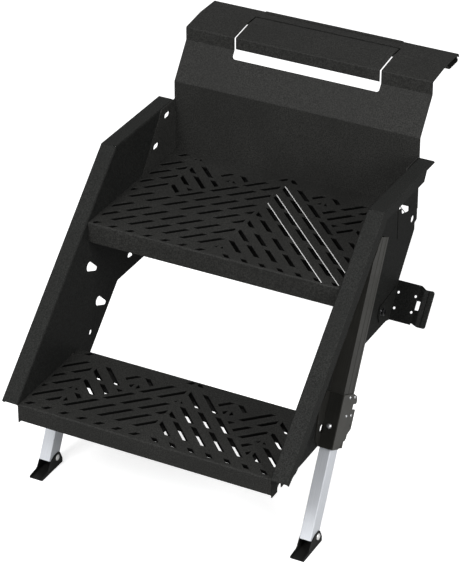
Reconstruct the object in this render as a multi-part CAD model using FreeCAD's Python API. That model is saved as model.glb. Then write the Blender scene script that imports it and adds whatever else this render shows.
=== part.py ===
import FreeCAD, Part
import math
import os
from FreeCAD import Placement, Rotation, Vector

# Two-step entry step of folded steel sheet. Millimetres, +X to the right, +Y into the doorway, +Z up.
# Everything is worked out from the lower tread's front top edge, and is moved at the end so that the
# origin is the middle of the seat that rests on the door sill.

# Sheet and folds
panel_sheet = 2.0           # gauge of the side panels
tread_sheet = 2.0           # gauge of both treads
riser_sheet = 2.0           # gauge of the riser and threshold
stiffener_sheet = 1.5       # gauge of the stiffeners and the threshold channel
bend_radius = 1.5           # inside radius of the folds
panel_gap = 540.0           # clear width between the side panels

# Treads
lower_depth = 229.0
lower_lip = 36.0            # front edge of the lower tread
lower_back_lip = 57.0
tread_rise = 260.0          # from the lower tread to the upper one
tread_going = 276.8         # from front edge to front edge
upper_depth = 352.0
upper_lip = 42.5
end_flange = 26.0           # flanges by which a tread is welded to the side panels
end_flange_inset = 12.0     # from the tread's front and back edges
back_lip_inset = 22.0       # the lower tread's back lip stops short of the side panels

# Slots of the treads
slot_pitch = 38.2
slot_width = 12.4           # along the width of the step
first_line = 36.9           # where the first slanting line of slots meets the tread's front edge
lower_lines = 6
upper_lines = 9
outer_lines = 7             # further lines, beyond the last that reaches the middle
nose_lines = 7              # lines that cross the front row
lower_middle = -3.4         # the lower tread's middle ridge, from the middle of the step
upper_middle = -0.6
side_peak = 203.0           # the outer ridge of the herringbone, from the middle
ridge_land = 4.0            # plain sheet beside each ridge
slot_edge = 8.0             # plain sheet beside the side panels
smallest_slot = 22.0        # area under which a clipped slot is left out
open_corner = (36.0, 42.0)  # cut off the upper tread's right rear corner, behind the panel's keyhole
open_corner_land = 8.0      # plain sheet round that corner
nose_row = (9.8, 20.6)
lower_rows = ((38.8, 86.0), (95.6, 136.3), (146.7, 194.0), (214.0, 224.5))
upper_nose_row = (4.0, 14.0)
upper_rows = ((31.5, 66.0), (76.5, 111.5), (129.8, 164.5), (174.8, 213.3), (223.8, 263.5),
              (272.8, 306.5), (325.5, 339.0))

# Stiffeners under the treads
lower_stiffener_at = (92.0, 142.0)
lower_stiffener_depth = 22.6
upper_stiffener_at = (70.5, 168.0, 268.0)
upper_stiffener_depth = 60.8
stiffener_flange = 14.0
middle_rib_depth = 32.0     # ribs under the lower tread's ridges, from lip to lip
side_rib_depth = 22.6

# Side panels
nose_out = 5.4              # front of the flange, before the lower tread
nose_up = 2.0
knee_back = 116.0           # from the upper tread's front edge to the bend of the handrail line
guard_height = 112.5        # from the upper tread to the panel's top
panel_depth = 212.7         # from the sloping front edge to the edge behind the lower tread
panel_below = 41.0          # from the lower tread's top to the panel's bottom edge
flange_width = 35.0
front_return = 26.0
top_return = 22.0
fold_stub = 12.0            # flat beside the fold, where the flange section meets the web
knee_slit = 1.6
nose_notch = 8.5            # radius of the notch in the bottom edge
nose_notch_at = 30.5
back_inset = 4.8            # the panel's back edge, before the riser
shoulder_drop = 23.0        # below the upper tread, where the back edge steps in
shoulder_in = 10.0
shoulder_height = 14.0
shoulder_slope = 4.0
panel_corner = 8.0          # radius of the web's lower corners
web_start = 3.5             # the web begins below the lower tread's front edge
web_overlap = 4.0           # by which the web runs into the fold
slit_in = 8.0               # reach of the slit at the knee, over the fold and down the web
slit_down = 12.0
return_stop = 49.0          # the top return stops before the panel's back edge
return_stop_slope = 12.0
return_knee = (12.0, 20.0)  # the return narrows from behind the knee, on a slant
return_nose = ((-1.0, 11.8), (20.0, 15.5), (30.0, 22.8))    # width of the return along the front edge
trim_reach = 60.0

# Holes of the side panels: those by the legs are placed up the leg and behind its front face
small_hole = 11.0
small_hole_at = (39.0, 49.4)
keyhole_large = 20.0
keyhole_small = 9.0
keyhole_places = ((173.0, -15.0), (103.0, 55.0))
keyhole_run = (26.0, 17.5)      # of the narrow end, behind the round head and below it
oval_at = (60.3, 31.3)          # before and above the bracket's lower corner
oval_half = 6.0
oval_tilt = 1.5
oval_front = 11.0
oval_back = 9.0
notch_sink = 3.5                # by which the bottom notch is less than a half round
guard_keyhole_at = (69.8, 31.0)     # before the riser and above the upper tread, on the right only
guard_keyhole_run = (24.0, 11.0)
guard_keyhole_small = 12.0
shoulder_hole = 15.0
shoulder_hole_at = (25.8, 13.0)     # before the riser and below the upper tread
guard_slit = 3.0
guard_slit_at = 99.3
guard_slit_down = 22.4
guard_slit_up = 40.0

# Riser and threshold
riser_foot = 60.0           # below the upper tread
riser_height = 151.3        # upright part above the upper tread
lean_back = 51.4
lean_height = 70.7
nose_height = 27.8          # upright band above the leaning one
crown_back = 60.4
crown_up = 8.2
threshold_back = 63.0       # flat top behind the crown
threshold_lip = 8.0
corner_notches = (          # side, width and depth below the tread's top of the riser foot's open corners
    (-1, 30.0, 15.0), (1, 46.0, 3.0))
ear_top = 56.0              # ears against the side panels: depth at the panel's top
ear_foot = 138.0            # and at the tread
ear_hole = 13.0
ear_hole_run = 5.5          # half the way between the round ends of the hole
ear_hole_places = ((33.8, 90.7), (80.8, 41.5))      # before the riser and above the upper tread
ear_window = ((-10.0, -14.0), (30.0, -20.0), (30.0, -2.0), (-8.0, 10.0))    # round the right keyhole

# Lift handle in the threshold
opening_width = 322.0
opening_corner = 6.0
opening_up = 55.2           # lower edge of the opening, above the foot of the leaning band
opening_back = 33.8         # rear edge of the opening, behind the crown
handle_sheet = 1.6
handle_gap = 3.5            # slit beside the handle
handle_lip = 25.0           # the handle's front lip
hinge_pin = 4.0
running_gap = 0.05          # radial clearance of a turning fit
knuckle_gap = 1.4           # from the rolled knuckle to the opening's rear edge
knuckle_drop = 0.6          # from the handle's top to the knuckle's
knuckle_inset = 8.0
lug_thickness = 2.5
lug_side_gap = 0.4
lug_foot = 7.0              # half the lug's length at the threshold and at its rounded tip
lug_tip = 5.0
lug_corner = 3.0
pin_end = 1.0

# Threshold channel and strip
channel_height = 14.0
channel_flange = 5.0
channel_inset = 1.0         # start of its front flange, behind the crown
channel_slope = 14.0
channel_bottom = 43.0
channel_back_slope = 8.0
strip_width = 304.0
strip_depth = 8.0
strip_thickness = 1.0

# Legs, in a frame that leans back with the leg: up along it and across behind it
leg_lean = 27.0
leg_inset = 16.9            # leg's front face at tread level, before the lower tread's back edge
leg_width = 24.0
leg_depth = 37.0
leg_wall = 2.0
leg_corner = 2.0
leg_below = 225.0           # lower end below the lower tread, along the leg
leg_above = 140.0
sleeve_gap = 0.3            # between the leg and its sleeve
sleeve_wall = 2.4
sleeve_side_wall = 3.2
partition = 2.0
sleeve_depth = 49.0
rib_depth = 0.8
rib_slope = 2.0
rib_lands = ((-2.7, 6.0), (22.0, 31.0), (42.0, 49.0))
sleeve_below = 45.0
right_sleeve_top = 367.0
left_sleeve_top = 152.0     # open above this, where the panel's keyhole is seen through
sleeve_chamfer = 48.0       # slanting top of a long sleeve
sleeve_chamfer_in = 18.0
plug_head = 3.0
plug_length = 14.0

# Collar round the foot of the sleeve
collar_sheet = 2.5
collar_top = 62.0
collar_hole = 18.0
collar_hole_at = (-9.5, -5.4)
collar_face = (             # outer face behind the sleeve's front: across, up and corner radius
    (25.0, -45.0, 4.0), (32.0, -38.0, 2.0), (35.0, -32.0, 2.0), (48.0, -30.0, 3.0), (53.0, -25.0, 3.0),
    (53.0, -18.0, 3.0), (67.0, -8.0, 4.0), (67.0, 31.0, 3.0), (52.0, 31.0, 2.0), (52.0, 42.0, 2.0),
    (67.0, 42.0, 3.0), (67.0, 50.0, 4.0), (60.0, 58.0, 4.0), (47.0, 62.0, 3.0))
collar_flange = (           # flange on the side panel, before the sleeve
    (-8.0, -45.0, 3.0), (-25.0, -32.0, 8.0), (-39.0, 27.0, 14.0), (-20.0, 65.0, 6.0))
rivet_rows = (20.0, 56.0)
rivet_columns = (27.5, 51.2)
rivet = 4.0
rivet_head = 6.0
rivet_head_height = 1.6
screw_head = 10.0
screw_head_height = 3.2
screw = 5.0
screw_up = -2.0

# Cam lever that locks the leg
lever_pivot = (0.0, 58.0)
lever_pin = 6.0
lever_width = 10.0
cam_gap = 0.3
cam_nose = 5.0
lever_hub = 7.0
lever_length = 44.0
lever_grip = 4.5
lever_window_up = 12.0
lever_window_down = 24.0
lever_window_side = 2.5     # beside the lever

# Foot
foot_wall = 1.9
ear_gap = 0.3
foot_pin = 8.0
foot_pin_up = 7.4           # above the leg's lower end
foot_pin_across = 26.6      # behind the leg's front face
foot_pin_head = 13.0
foot_pin_head_height = 2.6
ground_drop = 21.0          # from the pin down to the ground
toe = 60.0                  # from the pin forward to the tip
heel = 19.0
foot_ear = 9.5
toe_wall = (-61.0, 5.0, 2.0)    # side wall of the foot: behind the pin, above the ground and corner radius
toe_dip = (-34.0, 8.0, 10.0)
ear_foot_rise = (-22.0, 25.0, 6.0)
heel_wall = (19.0, 10.0, 4.0)
ear_corners = (5.0, 8.0)

# Mounting brackets
bracket_sheet = 2.5
bracket_at = (129.8, 185.6)     # corner before the riser and below the upper tread
bracket_height = 80.0
bracket_edge_rise = 81.5        # length of the panel's slanting edge that it follows
bracket_tilt = 53.0             # slant of that edge
bracket_reach = 80.0
bracket_hole = 5.5
bracket_hole_pitch_x = 36.5
bracket_hole_pitch_up = 32.0
bracket_hole_at = (6.2, 24.5)
bracket_wave = (            # joggles of the reaching leg: out from the panel and off its plane
    (0.0, 0.0), (49.0, 0.0), (59.0, 2.5), (66.0, -2.5), (bracket_reach, 4.5))
bracket_blank = (           # its outline: out from the panel, up the slant and corner radius
    (0.0, 0.0, 0.0), (47.0, 0.0, 1.0), (47.0, 4.0, 1.0), (61.0, -1.0, 2.0), (bracket_reach, -1.0, 5.0),
    (bracket_reach, 75.0, 6.0), (61.0, 74.0, 3.0), (50.0, bracket_height, 2.0), (0.0, bracket_height, 0.0))
bracket_window = ((47.5, 30.5), (56.5, 49.0))
bracket_window_corner = 1.5
bracket_leg_top = 56.0          # up the slant, where the leg on the panel ends
bracket_bolt_at = (37.0, 37.6)  # before and above the bracket's lower corner
bolt = 8.0
bolt_play = 0.3
bolt_head = 13.0
bolt_head_height = 5.3
nut_height = 6.5
washer = 16.0
washer_height = 1.6

# Places worked out from the sizes above
half_gap = panel_gap / 2
web_out = half_gap + panel_sheet
flange_out = half_gap + flange_width
riser_y = tread_going + upper_depth
panel_top = tread_rise + guard_height
nose = (-nose_out, nose_up)
knee = (tread_going + knee_back, panel_top)
slope = math.atan2(knee[1] - nose[1], knee[0] - nose[0])
panel_back = riser_y - back_inset
lean_foot = tread_rise + riser_height
lean_top = lean_foot + lean_height
nose_y = riser_y + lean_back
crown_z = lean_top + nose_height
crown_y = nose_y + crown_back
threshold_z = crown_z + crown_up
threshold_end = crown_y + threshold_back
opening_bottom = lean_foot + opening_up
opening_rear = crown_y + opening_back
leg_y = lower_depth - leg_inset
leg_mid = web_out + sleeve_side_wall + sleeve_gap + leg_width / 2
leg_in = leg_mid - leg_width / 2
leg_out = leg_mid + leg_width / 2
sleeve_out = leg_out + sleeve_gap + sleeve_wall
sleeve_front = -sleeve_gap - sleeve_wall
collar_out = sleeve_out + collar_sheet
bracket_y = riser_y - bracket_at[0]
bracket_z = tread_rise - bracket_at[1]
seat_z = threshold_z - riser_sheet - channel_height
channel_y = crown_y + channel_inset
seat_front = channel_y + channel_flange + channel_slope
seat_middle = Vector(0, seat_front + channel_bottom / 2, seat_z)


# Shapes

def corner_points(points):
    """Round each corner of a closed outline of (a, b, radius) points: start, middle and end of its arc."""
    rounded = []
    count = len(points)
    for i, (a, b, radius) in enumerate(points):
        here = Vector(a, b, 0)
        before = Vector(*points[i - 1][:2], 0) - here
        after = Vector(*points[(i + 1) % count][:2], 0) - here
        if radius <= 0:
            rounded.append((here,))
            continue
        before.normalize()
        after.normalize()
        half = before.getAngle(after) / 2
        middle = (before + after).normalize()
        reach = radius / math.tan(half)
        arc_middle = here + middle * (radius / math.sin(half) - radius)
        rounded.append((here + before * reach, arc_middle, here + after * reach))
    return rounded


def outline(points, place):
    """A closed wire through (a, b, radius) points, with place turning (a, b) into a point in space."""
    corners = corner_points([(*p, 0.0)[:3] for p in points])
    edges = []
    for i, corner in enumerate(corners):
        if len(corner) == 3:
            edges.append(Part.Arc(*[place(p.x, p.y) for p in corner]).toShape())
        start = corner[-1]
        end = corners[(i + 1) % len(corners)][0]
        if start.distanceToPoint(end) > 1e-6:
            edges.append(Part.LineSegment(place(start.x, start.y), place(end.x, end.y)).toShape())
    return Part.Wire(edges)


def plate_x(points, x0, x1):
    """A plate square to X: its outline is (y, z, radius) points."""
    face = Part.Face(outline(points, lambda y, z: Vector(x0, y, z)))
    return face.extrude(Vector(x1 - x0, 0, 0))


def plate_z(points, z0, z1):
    """A plate square to Z: its outline is (x, y, radius) points."""
    face = Part.Face(outline(points, lambda x, y: Vector(x, y, z0)))
    return face.extrude(Vector(0, 0, z1 - z0))


def box(x0, x1, y0, y1, z0, z1):
    return Part.makeBox(x1 - x0, y1 - y0, z1 - z0, Vector(x0, y0, z0))


def rod_x(y, z, diameter, x0, x1):
    return Part.makeCylinder(diameter / 2, x1 - x0, Vector(x0, y, z), Vector(1, 0, 0))


def folded(points, gauge, side):
    """The closed outline of a folded sheet from its visible face: the gauge lies left (1) or right (-1)."""
    count = len(points)
    seen = []
    hidden = []
    for i, (a, b) in enumerate(points):
        here = Vector(a, b, 0)
        normals = []
        for j, k in ((i - 1, i), (i, i + 1)):
            if j >= 0 and k < count:
                run = Vector(points[k][0] - points[j][0], points[k][1] - points[j][1], 0).normalize()
                normals.append(Vector(-run.y, run.x, 0) * side)
        if len(normals) == 1:
            seen.append((a, b, 0))
            shifted = here + normals[0] * gauge
            hidden.append((shifted.x, shifted.y, 0))
            continue
        middle = (normals[0] + normals[1]).normalize()
        shifted = here + middle * (gauge / middle.dot(normals[0]))
        turn = normals[0].cross(normals[1]).z * side
        inside = bend_radius
        outside = bend_radius + gauge
        seen.append((a, b, outside if turn > 0 else inside))
        hidden.append((shifted.x, shifted.y, inside if turn > 0 else outside))
    return seen + hidden[::-1]


def fuse(shapes):
    whole = shapes[0].multiFuse(shapes[1:]) if len(shapes) > 1 else shapes[0]
    return whole.removeSplitter()


def mirrored(shape):
    return shape.mirror(Vector(0, 0, 0), Vector(1, 0, 0))


def on_leg(shape):
    """Lean a shape made upright, with Z up the leg and Y behind its front face, to the leg's angle."""
    placed = shape.copy()
    placed.Placement = Placement(Vector(0, leg_y, 0), Rotation(Vector(1, 0, 0), -leg_lean))
    return placed


def leg_point(up, across):
    """The (y, z) of a place given up the leg and across behind its front face."""
    lean = math.radians(leg_lean)
    y = leg_y + up * math.sin(lean) + across * math.cos(lean)
    return y, up * math.cos(lean) - across * math.sin(lean)


def hexagon_x(y, z, flats, x0, x1):
    corner = flats / math.sqrt(3)
    points = []
    for i in range(6):
        angle = math.radians(60 * i + 15)
        points.append((y + corner * math.cos(angle), z + corner * math.sin(angle)))
    return plate_x(points, x0, x1)


def domed_head(y, z, diameter, height, x0, direction):
    """A low round head on a face square to X."""
    rise = height
    sphere_radius = (diameter ** 2 / 4 + rise ** 2) / (2 * rise)
    centre = Vector(x0 - direction * (sphere_radius - rise), y, z)
    ball = Part.makeSphere(sphere_radius, centre)
    limits = (x0, x0 + direction * height)
    return ball.common(rod_x(y, z, diameter, min(limits), max(limits)))


# Herringbone slots of a tread

def clip(polygon, a, b, limit):
    """Keep the part of a polygon where a*x + b*y is at most the limit."""
    kept = []
    for i, here in enumerate(polygon):
        before = polygon[i - 1]
        d_here = a * here[0] + b * here[1] - limit
        d_before = a * before[0] + b * before[1] - limit
        if (d_here > 0) != (d_before > 0):
            share = d_before / (d_before - d_here)
            kept.append(tuple(b + share * (h - b) for b, h in zip(before, here)))
        if d_here <= 0:
            kept.append(here)
    return kept


def area(polygon):
    total = 0.0
    for i, (x, y) in enumerate(polygon):
        total += polygon[i - 1][0] * y - x * polygon[i - 1][1]
    return abs(total) / 2


def slanting(start, direction, row):
    """A slot at 45 degrees through (start, 0), with its ends cut along the row."""
    half = slot_width / 2
    low, high = row
    x_low = start + direction * low
    x_high = start + direction * high
    return [(x_low - half, low), (x_low + half, low), (x_high + half, high), (x_high - half, high)]


def right_slots(rows, lines):
    """Slots of a tread's right half, from its front edge back and from its middle ridge out."""
    border = first_line + (lines - 0.5) * slot_pitch
    ridge = border - side_peak
    slots = []
    for row in rows:
        for k in range(lines + outer_lines):
            line = first_line + k * slot_pitch
            main = slanting(line, -1, row)
            if k < lines:
                slots.append(main)
                continue
            slots.append(clip(main, -1, 0, -side_peak - ridge_land))
            across = clip(slanting(2 * side_peak - line, 1, row), -1, -1, -border)
            across = clip(across, -1, 1, ridge)
            slots.append(clip(across, 1, 0, side_peak - ridge_land))
            if row == rows[-1]:
                continue
            behind = clip(main, 1, -1, -ridge)
            slots.append(clip(behind, -1, 0, -side_peak / 2 - ridge_land))
            behind = clip(slanting(side_peak - line, 1, row), -1, -1, -border)
            slots.append(clip(behind, 1, 0, side_peak / 2 - ridge_land))
    return within_half(slots)


def nose_slots(row):
    return within_half([slanting(first_line + k * slot_pitch, -1, row) for k in range(nose_lines)])


def within_half(slots):
    """Cut slots off at the middle ridge and at the side panel, and leave out what is too small."""
    kept = []
    for slot in slots:
        slot = clip(slot, -1, 0, -ridge_land)
        slot = clip(slot, 1, 0, half_gap - slot_edge)
        if area(slot) > smallest_slot:
            kept.append(slot)
    return kept


def slot_cutters(front, top, middle, rows, first_row, lines):
    cutters = []
    for slot in nose_slots(first_row) + right_slots(rows, lines):
        placed = [(x, front + y) for x, y in slot]
        cutter = plate_z(placed, top - 2 * tread_sheet, top + tread_sheet)
        cutters += [cutter, mirrored(cutter)]
    for cutter in cutters:
        cutter.translate(Vector(middle, 0, 0))
    land_x = half_gap - open_corner[0] - open_corner_land
    land_y = riser_y - open_corner[1] - open_corner_land
    return [c for c in cutters if c.BoundBox.XMax < land_x or c.BoundBox.YMax < land_y]


def tread(front, depth, top, lip, back_lip, middle, rows, first_row, lines):
    """A slotted tread with a front lip, a back lip and a welding flange at each end."""
    section = [(front, top - lip), (front, top), (front + depth, top)]
    if back_lip:
        section.append((front + depth, top - back_lip))
    body = plate_x(folded(section, tread_sheet, -1), -half_gap, half_gap)
    if back_lip:
        for side in (-1, 1):
            corner = sorted((side * half_gap, side * (half_gap - back_lip_inset)))
            body = body.cut(box(*corner, front + depth - 2 * back_lip_inset / 3, front + depth + 1,
                                top - back_lip - 1, top - tread_sheet - bend_radius))
    flanges = []
    for side in (-1, 1):
        ends = sorted((side * half_gap, side * (half_gap - tread_sheet)))
        back = front + depth - end_flange_inset - (back_lip_inset if back_lip else 0)
        flanges.append(box(*ends, front + end_flange_inset, back, top - end_flange, top - tread_sheet / 2))
    body = fuse([body] + flanges)
    return body.cut(Part.makeCompound(slot_cutters(front, top, middle, rows, first_row, lines)))


def lower_tread():
    return tread(0.0, lower_depth, 0.0, lower_lip, lower_back_lip, lower_middle, lower_rows, nose_row,
                 lower_lines)


def upper_tread():
    body = tread(tread_going, upper_depth, tread_rise, upper_lip, 0, upper_middle, upper_rows,
                 upper_nose_row, upper_lines)
    return body.cut(box(half_gap - open_corner[0], half_gap + 1, riser_y - open_corner[1], riser_y + 1,
                        tread_rise - end_flange - 1, tread_rise + 1))


def stiffeners(front, top, places, depth):
    """Folded angles welded under a tread, from end flange to end flange."""
    solids = []
    for place in places:
        y = front + place
        z = top - tread_sheet
        section = [(y, z), (y, z - depth), (y + stiffener_flange, z - depth)]
        solids.append(plate_x(folded(section, stiffener_sheet, 1), tread_sheet - half_gap,
                              half_gap - tread_sheet))
    return solids


def lower_grid():
    """The lower tread's stiffeners, crossed by a rib under each of its three main ridges."""
    ribs = []
    back = lower_depth - tread_sheet
    for offset, depth in ((0, middle_rib_depth), (side_peak, side_rib_depth), (-side_peak, side_rib_depth)):
        x = lower_middle + offset - stiffener_sheet / 2
        shape = [(tread_sheet, -tread_sheet - bend_radius), (tread_sheet + bend_radius, -tread_sheet),
                 (back - bend_radius, -tread_sheet), (back, -tread_sheet - bend_radius),
                 (back, -tread_sheet - depth), (tread_sheet, -tread_sheet - depth)]
        ribs.append(plate_x(shape, x, x + stiffener_sheet))
    return fuse(stiffeners(0, 0, lower_stiffener_at, lower_stiffener_depth) + ribs)


# Side panels

def flange_section():
    """The panel's folded edge, carried along the sloping front and the level top."""
    points = folded([(half_gap, fold_stub), (half_gap, 0), (flange_out, 0), (flange_out, front_return)],
                    panel_sheet, 1)
    across = Vector(0, math.sin(slope), -math.cos(slope))
    start = Vector(0, *nose)
    profile = outline(points, lambda x, n: Vector(x, 0, 0) + start + across * n)
    path = Part.makePolygon([start, Vector(0, *knee), Vector(0, panel_back, panel_top)])
    return path.makePipeShell([profile], True, False, 1)


def return_trims():
    """What is cut off the flange's return: its shallower top run, and both its ends."""
    outside = (flange_out - panel_sheet - 0.1, flange_out + 0.1)
    back = panel_back - return_stop
    low = panel_top - trim_reach
    end = panel_back + nose_out
    below_top = plate_x([(knee[0] + return_knee[0], panel_top - top_return), (knee[0] - return_knee[1], low),
                         (end, low), (end, panel_top - top_return)], *outside)
    fold_foot = panel_top - panel_sheet - 1
    back_end = plate_x([(back, panel_top - top_return - 1), (back + return_stop_slope, fold_foot),
                        (end, fold_foot), (end, low)], *outside)
    along = Vector(0, math.cos(slope), math.sin(slope))
    across = Vector(0, math.sin(slope), -math.cos(slope))
    taper = []
    full = front_return + 0.1
    for s, n in return_nose + ((return_nose[-1][0] + 14, full), (return_nose[0][0], full + 8)):
        point = Vector(0, *nose) + along * s + across * n
        taper.append((point.y, point.z))
    return [below_top, back_end, plate_x(taper, *outside)]


def back_edge_y(z):
    """The y of the panel's slanting back edge, behind the lower tread, at a height."""
    return nose[0] + (z - nose[1]) / math.tan(slope) + panel_depth / math.sin(slope)


def keyhole(start, end, large, small):
    """The cutters of a hole that narrows from a round head at start to a round end, both (y, z)."""
    y, z = start
    y_end, z_end = end
    run = math.hypot(y_end - y, z_end - z)
    heading = math.atan2(z_end - z, y_end - y)
    opening = math.acos((large - small) / 2 / run)
    upper = Vector(0, math.cos(heading + opening), math.sin(heading + opening))
    lower = Vector(0, math.cos(heading - opening), math.sin(heading - opening))
    head, end = Vector(0, y, z), Vector(0, y_end, z_end)
    corners = [head + upper * (large / 2), end + upper * (small / 2),
               end + lower * (small / 2), head + lower * (large / 2)]
    tail = plate_x([(corner.y, corner.z) for corner in corners], half_gap - 5, web_out + 5)
    return [rod_x(y, z, large, half_gap - 5, web_out + 5), tail,
            rod_x(y_end, z_end, small, half_gap - 5, web_out + 5)]


def ear_opening(place):
    """The cutters of a long hole through a side panel and the riser's ear."""
    y, z = riser_y - place[0], tread_rise + place[1]
    return keyhole((y - ear_hole_run, z), (y + ear_hole_run, z), ear_hole, ear_hole)


def panel_holes(is_right):
    x0, x1 = half_gap - 5, web_out + 5
    holes = []
    for place in ear_hole_places:
        holes += ear_opening(place)
    holes.append(rod_x(*leg_point(*small_hole_at), small_hole, x0, x1))
    holes.append(rod_x(*leg_point(*collar_hole_at), collar_hole, x0, x1))
    holes.append(rod_x(*bracket_bolt_place(), bolt + 2 * bolt_play, x0, x1))
    for place in keyhole_places:
        start = leg_point(*place)
        end = (start[0] + keyhole_run[0], start[1] - keyhole_run[1])
        holes += keyhole(start, end, keyhole_large, keyhole_small)
    if not is_right:
        y, z = bracket_y - oval_at[0], bracket_z + oval_at[1]
        holes += keyhole((y - oval_half, z + oval_tilt), (y + oval_half, z - oval_tilt),
                         oval_front, oval_back)
    notch_top = nose_notch - notch_sink
    holes.append(rod_x(nose_notch_at, notch_top - panel_below, 2 * nose_notch, x0, x1))
    holes.append(box(x0, x1, nose_notch_at - nose_notch, nose_notch_at + nose_notch, -panel_below - 2,
                     notch_top - panel_below))
    if is_right:
        start = (riser_y - guard_keyhole_at[0], tread_rise + guard_keyhole_at[1])
        end = (start[0] + guard_keyhole_run[0], start[1] - guard_keyhole_run[1])
        holes += keyhole(start, end, keyhole_large, guard_keyhole_small)
        holes.append(rod_x(riser_y - shoulder_hole_at[0], tread_rise - shoulder_hole_at[1],
                           shoulder_hole, x0, x1))
        slit_y = riser_y - guard_slit_at
        holes.append(box(x0, x1, slit_y, slit_y + guard_slit, tread_rise - guard_slit_down,
                         tread_rise + guard_slit_up))
    return holes


def side_panel(is_right):
    fold = fold_stub - web_overlap
    front_edge = Vector(nose[0] + fold * math.sin(slope), nose[1] - fold * math.cos(slope), 0)
    knee_shift = fold * math.tan(slope / 2)
    edge_end = (bracket_y + bracket_edge_rise * math.cos(math.radians(bracket_tilt)),
                bracket_z + bracket_edge_rise * math.sin(math.radians(bracket_tilt)))
    shoulder_y = panel_back - shoulder_in
    shoulder_z = tread_rise - shoulder_drop
    web = plate_x([(front_edge.x, front_edge.y), (knee[0] + knee_shift, knee[1] - fold),
                   (panel_back, knee[1] - fold), (panel_back, shoulder_z),
                   (shoulder_y, shoulder_z - shoulder_slope),
                   (shoulder_y, shoulder_z - shoulder_slope - shoulder_height),
                   edge_end, (bracket_y, bracket_z),
                   (back_edge_y(bracket_z), bracket_z, panel_corner),
                   (back_edge_y(-panel_below), -panel_below, panel_corner),
                   (0, -panel_below), (0, -web_start)], half_gap, web_out)
    flange = flange_section()
    for trim in return_trims():
        flange = flange.cut(trim)
    panel = fuse([web, flange])
    slit = Part.makeBox(slit_in + 1, knee_slit, slit_down + panel_sheet,
                        Vector(half_gap - 1, -knee_slit / 2, -slit_down))
    slit.rotate(Vector(0, 0, 0), Vector(1, 0, 0), math.degrees(slope) / 2)
    slit.translate(Vector(0, *knee))
    panel = panel.cut(slit)
    panel = panel.cut(Part.makeCompound(panel_holes(is_right)))
    return panel if is_right else mirrored(panel)


# Riser, threshold and lift handle

def riser_path():
    return [(riser_y, tread_rise - riser_foot), (riser_y, lean_foot), (nose_y, lean_top), (nose_y, crown_z),
            (crown_y, threshold_z), (threshold_end, threshold_z),
            (threshold_end + threshold_lip * 0.6, threshold_z - threshold_lip)]


def riser_panel():
    """Riser and threshold in one folded sheet, with an ear against each side panel and the opening."""
    sheet = plate_x(folded(riser_path(), riser_sheet, -1), -half_gap, half_gap)
    half = opening_width / 2
    opening = [(-half, opening_bottom, opening_corner), (half, opening_bottom, opening_corner),
               (half, threshold_z + 5, 0), (-half, threshold_z + 5, 0)]
    y0 = riser_y + riser_sheet + bend_radius
    mouth = Part.Face(outline(opening, lambda x, z: Vector(x, y0, z)))
    sheet = sheet.cut(mouth.extrude(Vector(0, opening_rear - y0, 0)))
    pieces = []
    for side, notch, notch_up in corner_notches:
        ends = sorted((side * half_gap, side * (half_gap - notch)))
        sheet = sheet.cut(box(*ends, riser_y - 1, riser_y + riser_sheet + 1, tread_rise - riser_foot - 1,
                              tread_rise - notch_up))
        ends = sorted((side * half_gap, side * (half_gap - riser_sheet)))
        ear = plate_x([(riser_y + riser_sheet / 2, tread_rise), (riser_y + riser_sheet / 2, panel_top),
                       (riser_y - ear_top, panel_top), (riser_y - ear_foot, tread_rise)], *ends)
        for place in ear_hole_places:
            for cutter in ear_opening(place):
                ear = ear.cut(cutter if side > 0 else mirrored(cutter))
        if side > 0:
            y, z = riser_y - guard_keyhole_at[0], tread_rise + guard_keyhole_at[1]
            window = [(y + behind, z + above) for behind, above in ear_window]
            ear = ear.cut(plate_x(window, ends[0] - 1, ends[1] + 1))
        pieces.append(ear)
    return fuse([sheet] + pieces)


def threshold_channel():
    """The folded channel under the threshold, whose flat bottom rests on the door sill."""
    top = threshold_z - riser_sheet
    path = [(channel_y, top - stiffener_sheet), (channel_y + channel_flange, top - stiffener_sheet),
            (seat_front, seat_z), (seat_front + channel_bottom, seat_z),
            (seat_front + channel_bottom - channel_back_slope, top)]
    section = folded(path, stiffener_sheet, 1)
    return plate_x(section, -half_gap, half_gap).common(
        box(-half_gap, half_gap, channel_y - 1, threshold_end + 20, seat_z - 1, top))


def rear_strip():
    return box(-strip_width / 2, strip_width / 2, threshold_end - strip_depth, threshold_end, threshold_z,
               threshold_z + strip_thickness)


def hinge_axis():
    roll = hinge_pin / 2 + running_gap + handle_sheet
    return opening_rear - knuckle_gap - roll, threshold_z - knuckle_drop - roll


def lift_handle():
    """The flap over the opening, with its rear edge rolled round the hinge pin."""
    half = opening_width / 2 - handle_gap
    axis_y, axis_z = hinge_axis()
    roll = hinge_pin / 2 + running_gap + handle_sheet
    path = [(nose_y, crown_z - handle_lip), (nose_y, crown_z), (crown_y, threshold_z), (axis_y, threshold_z)]
    flap = plate_x(folded(path, handle_sheet, -1), -half, half)
    knuckle = rod_x(axis_y, axis_z, 2 * roll, knuckle_inset - half, half - knuckle_inset)
    open_side = box(-half, half, axis_y - 2 * roll, axis_y, axis_z - 0.3, threshold_z - handle_sheet)
    knuckle = knuckle.cut(open_side)
    whole = fuse([flap, knuckle])
    return whole.cut(rod_x(axis_y, axis_z, hinge_pin + 2 * running_gap, -half, half))


def lug_faces():
    inner = opening_width / 2 + lug_side_gap
    return inner, inner + lug_thickness


def hinge_lugs():
    axis_y, axis_z = hinge_axis()
    top = threshold_z - riser_sheet
    solids = []
    for side in (-1, 1):
        faces = sorted(side * x for x in lug_faces())
        lug = plate_x([(axis_y - lug_foot, top), (axis_y - lug_tip, axis_z - lug_tip, lug_corner),
                       (axis_y + lug_tip, axis_z - lug_tip, lug_corner), (axis_y + lug_foot, top)], *faces)
        solids.append(lug.cut(rod_x(axis_y, axis_z, hinge_pin, faces[0] - 1, faces[1] + 1)))
    return solids


def hinge_pin_rod():
    end = lug_faces()[1] + pin_end
    return rod_x(*hinge_axis(), hinge_pin, -end, end)


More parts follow.
